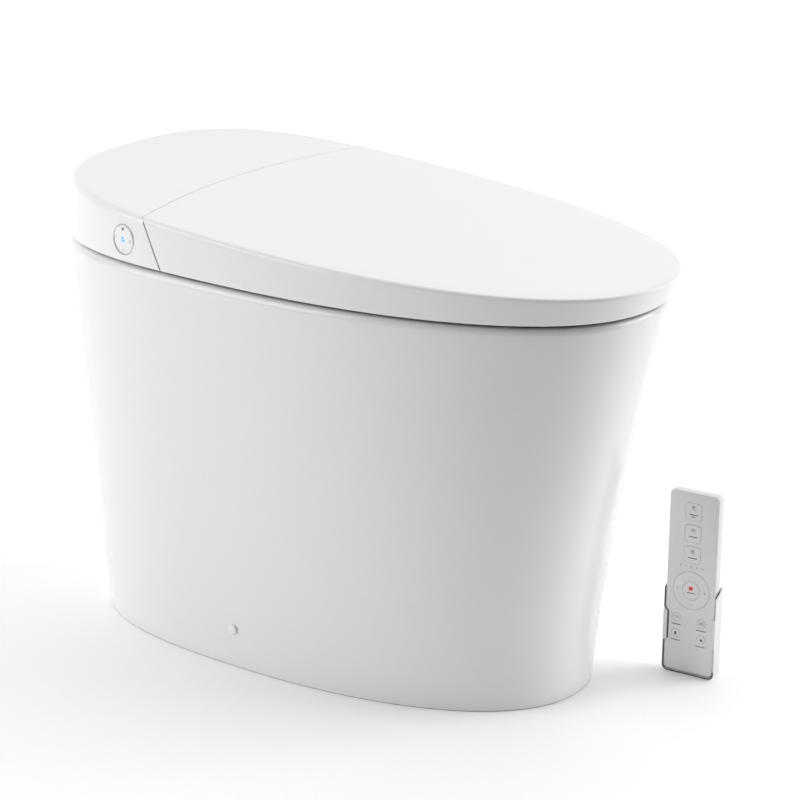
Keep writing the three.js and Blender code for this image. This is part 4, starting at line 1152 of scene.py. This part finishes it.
def cradle():
    """A tray with slanted side walls, a clip in front of the remote on each side, and ribs under it."""
    wide, thick = REMOTE["wide"], REMOTE["thick"]
    wall, low, high, back, corner = 1.1, 0.3, 2.3, 2.2, 5.9
    front_rise, back_rise, clip_wide, clip_low, clip_high = 92.0, 100.0, 4.4, 35.0, 68.0
    depth = thick + 0.35
    tail = depth + back
    obj = slab("remote_cradle", 0, wide, low, 140.0, 0, tail, corner, 0.3, 0.8)
    boolean(obj, slab("room", wall, wide - wall, high, 150.0, -5, depth, corner - wall))
    slope = (back_rise - front_rise) / tail
    over, above = 5, 160
    lowest, highest = front_rise - over * slope, back_rise + over * slope
    above_slant = [(-over, lowest), (tail + over, highest), (tail + over, above), (-over, above)]
    boolean(obj, wedge("slant", -over, wide + over, above_slant))

    def add(edge, inward, near, far, *size):
        x0, x1 = sorted((edge + inward * near, edge + inward * far))
        boolean(obj, slab("part", x0, x1, *size), "UNION")

    for side in ((0, 1), (wide, -1)):
        add(*side, 0, clip_wide, clip_low, clip_high, -1.2, -0.35, 1.2, 0.3)
        add(*side, 0, wall, clip_low, clip_high, -1.15, 2.0, 0.3)
        add(*side, 12, 15, 1.0, FOOT - 0.35, 2.0, depth + 1, 0.3)
    return obj


def on_cradle(u, v, height):
    """Just above the front of the cradle's walls."""
    return (u, -height, v)


def cradle_painted_shade():
    """Dark edging at the cradle's mouth, down the left wall, round its clip and along the bottom: painted
    shade where the remote meets its cradle.
    """
    wide, edge, bottom, corner = REMOTE["wide"], 0.75, 1.05, 5.2
    far, clip = wide - edge, 5.2
    down = [(edge, 91.5), (edge, 80.0), (edge, 71.5), (clip, 67.0), (clip, 51.0), (clip, 37.0),
            (edge, 33.5), (edge, 20.0)]
    left_corner = arc(edge + corner, bottom + corner, corner, 180, 270, 9)
    right_corner = arc(far - corner, bottom + corner, corner, 270, 360, 9)
    line = np.concatenate([down, left_corner, right_corner, [(far, 9.5)]])
    return printed("cradle_painted_shade", [line], 1.35, 0.0, 0.3, on_cradle, at_remote)


def slant_painted_shade(x0, x1):
    """The same painted shade on the slanted top of a side wall, from the mouth part of the way back."""
    mouth, depth = -0.3, 8.4
    slope = 0.557
    low, high = 91.8, 92.6
    rise = (depth - mouth) * slope
    corners = [(mouth, low), (depth, low + rise), (depth, high + rise), (mouth, high)]
    return wedge("slant_painted_shade", x0, x1, corners)


dress(cradle(), CASE_WHITE, "root", "white_plastic", "remote_cradle")
# Painted shade along the cradle's mouth and the tops of its side walls
dress(cradle_painted_shade(), PAINTED_SHADE_EDGING, "root", "rubber")
for x0, x1 in ((-0.05, 1.1), (REMOTE["wide"] - 1.1, REMOTE["wide"] + 0.05)):
    dress(slant_painted_shade(x0, x1), PAINTED_SHADE_EDGING, "root", "rubber")
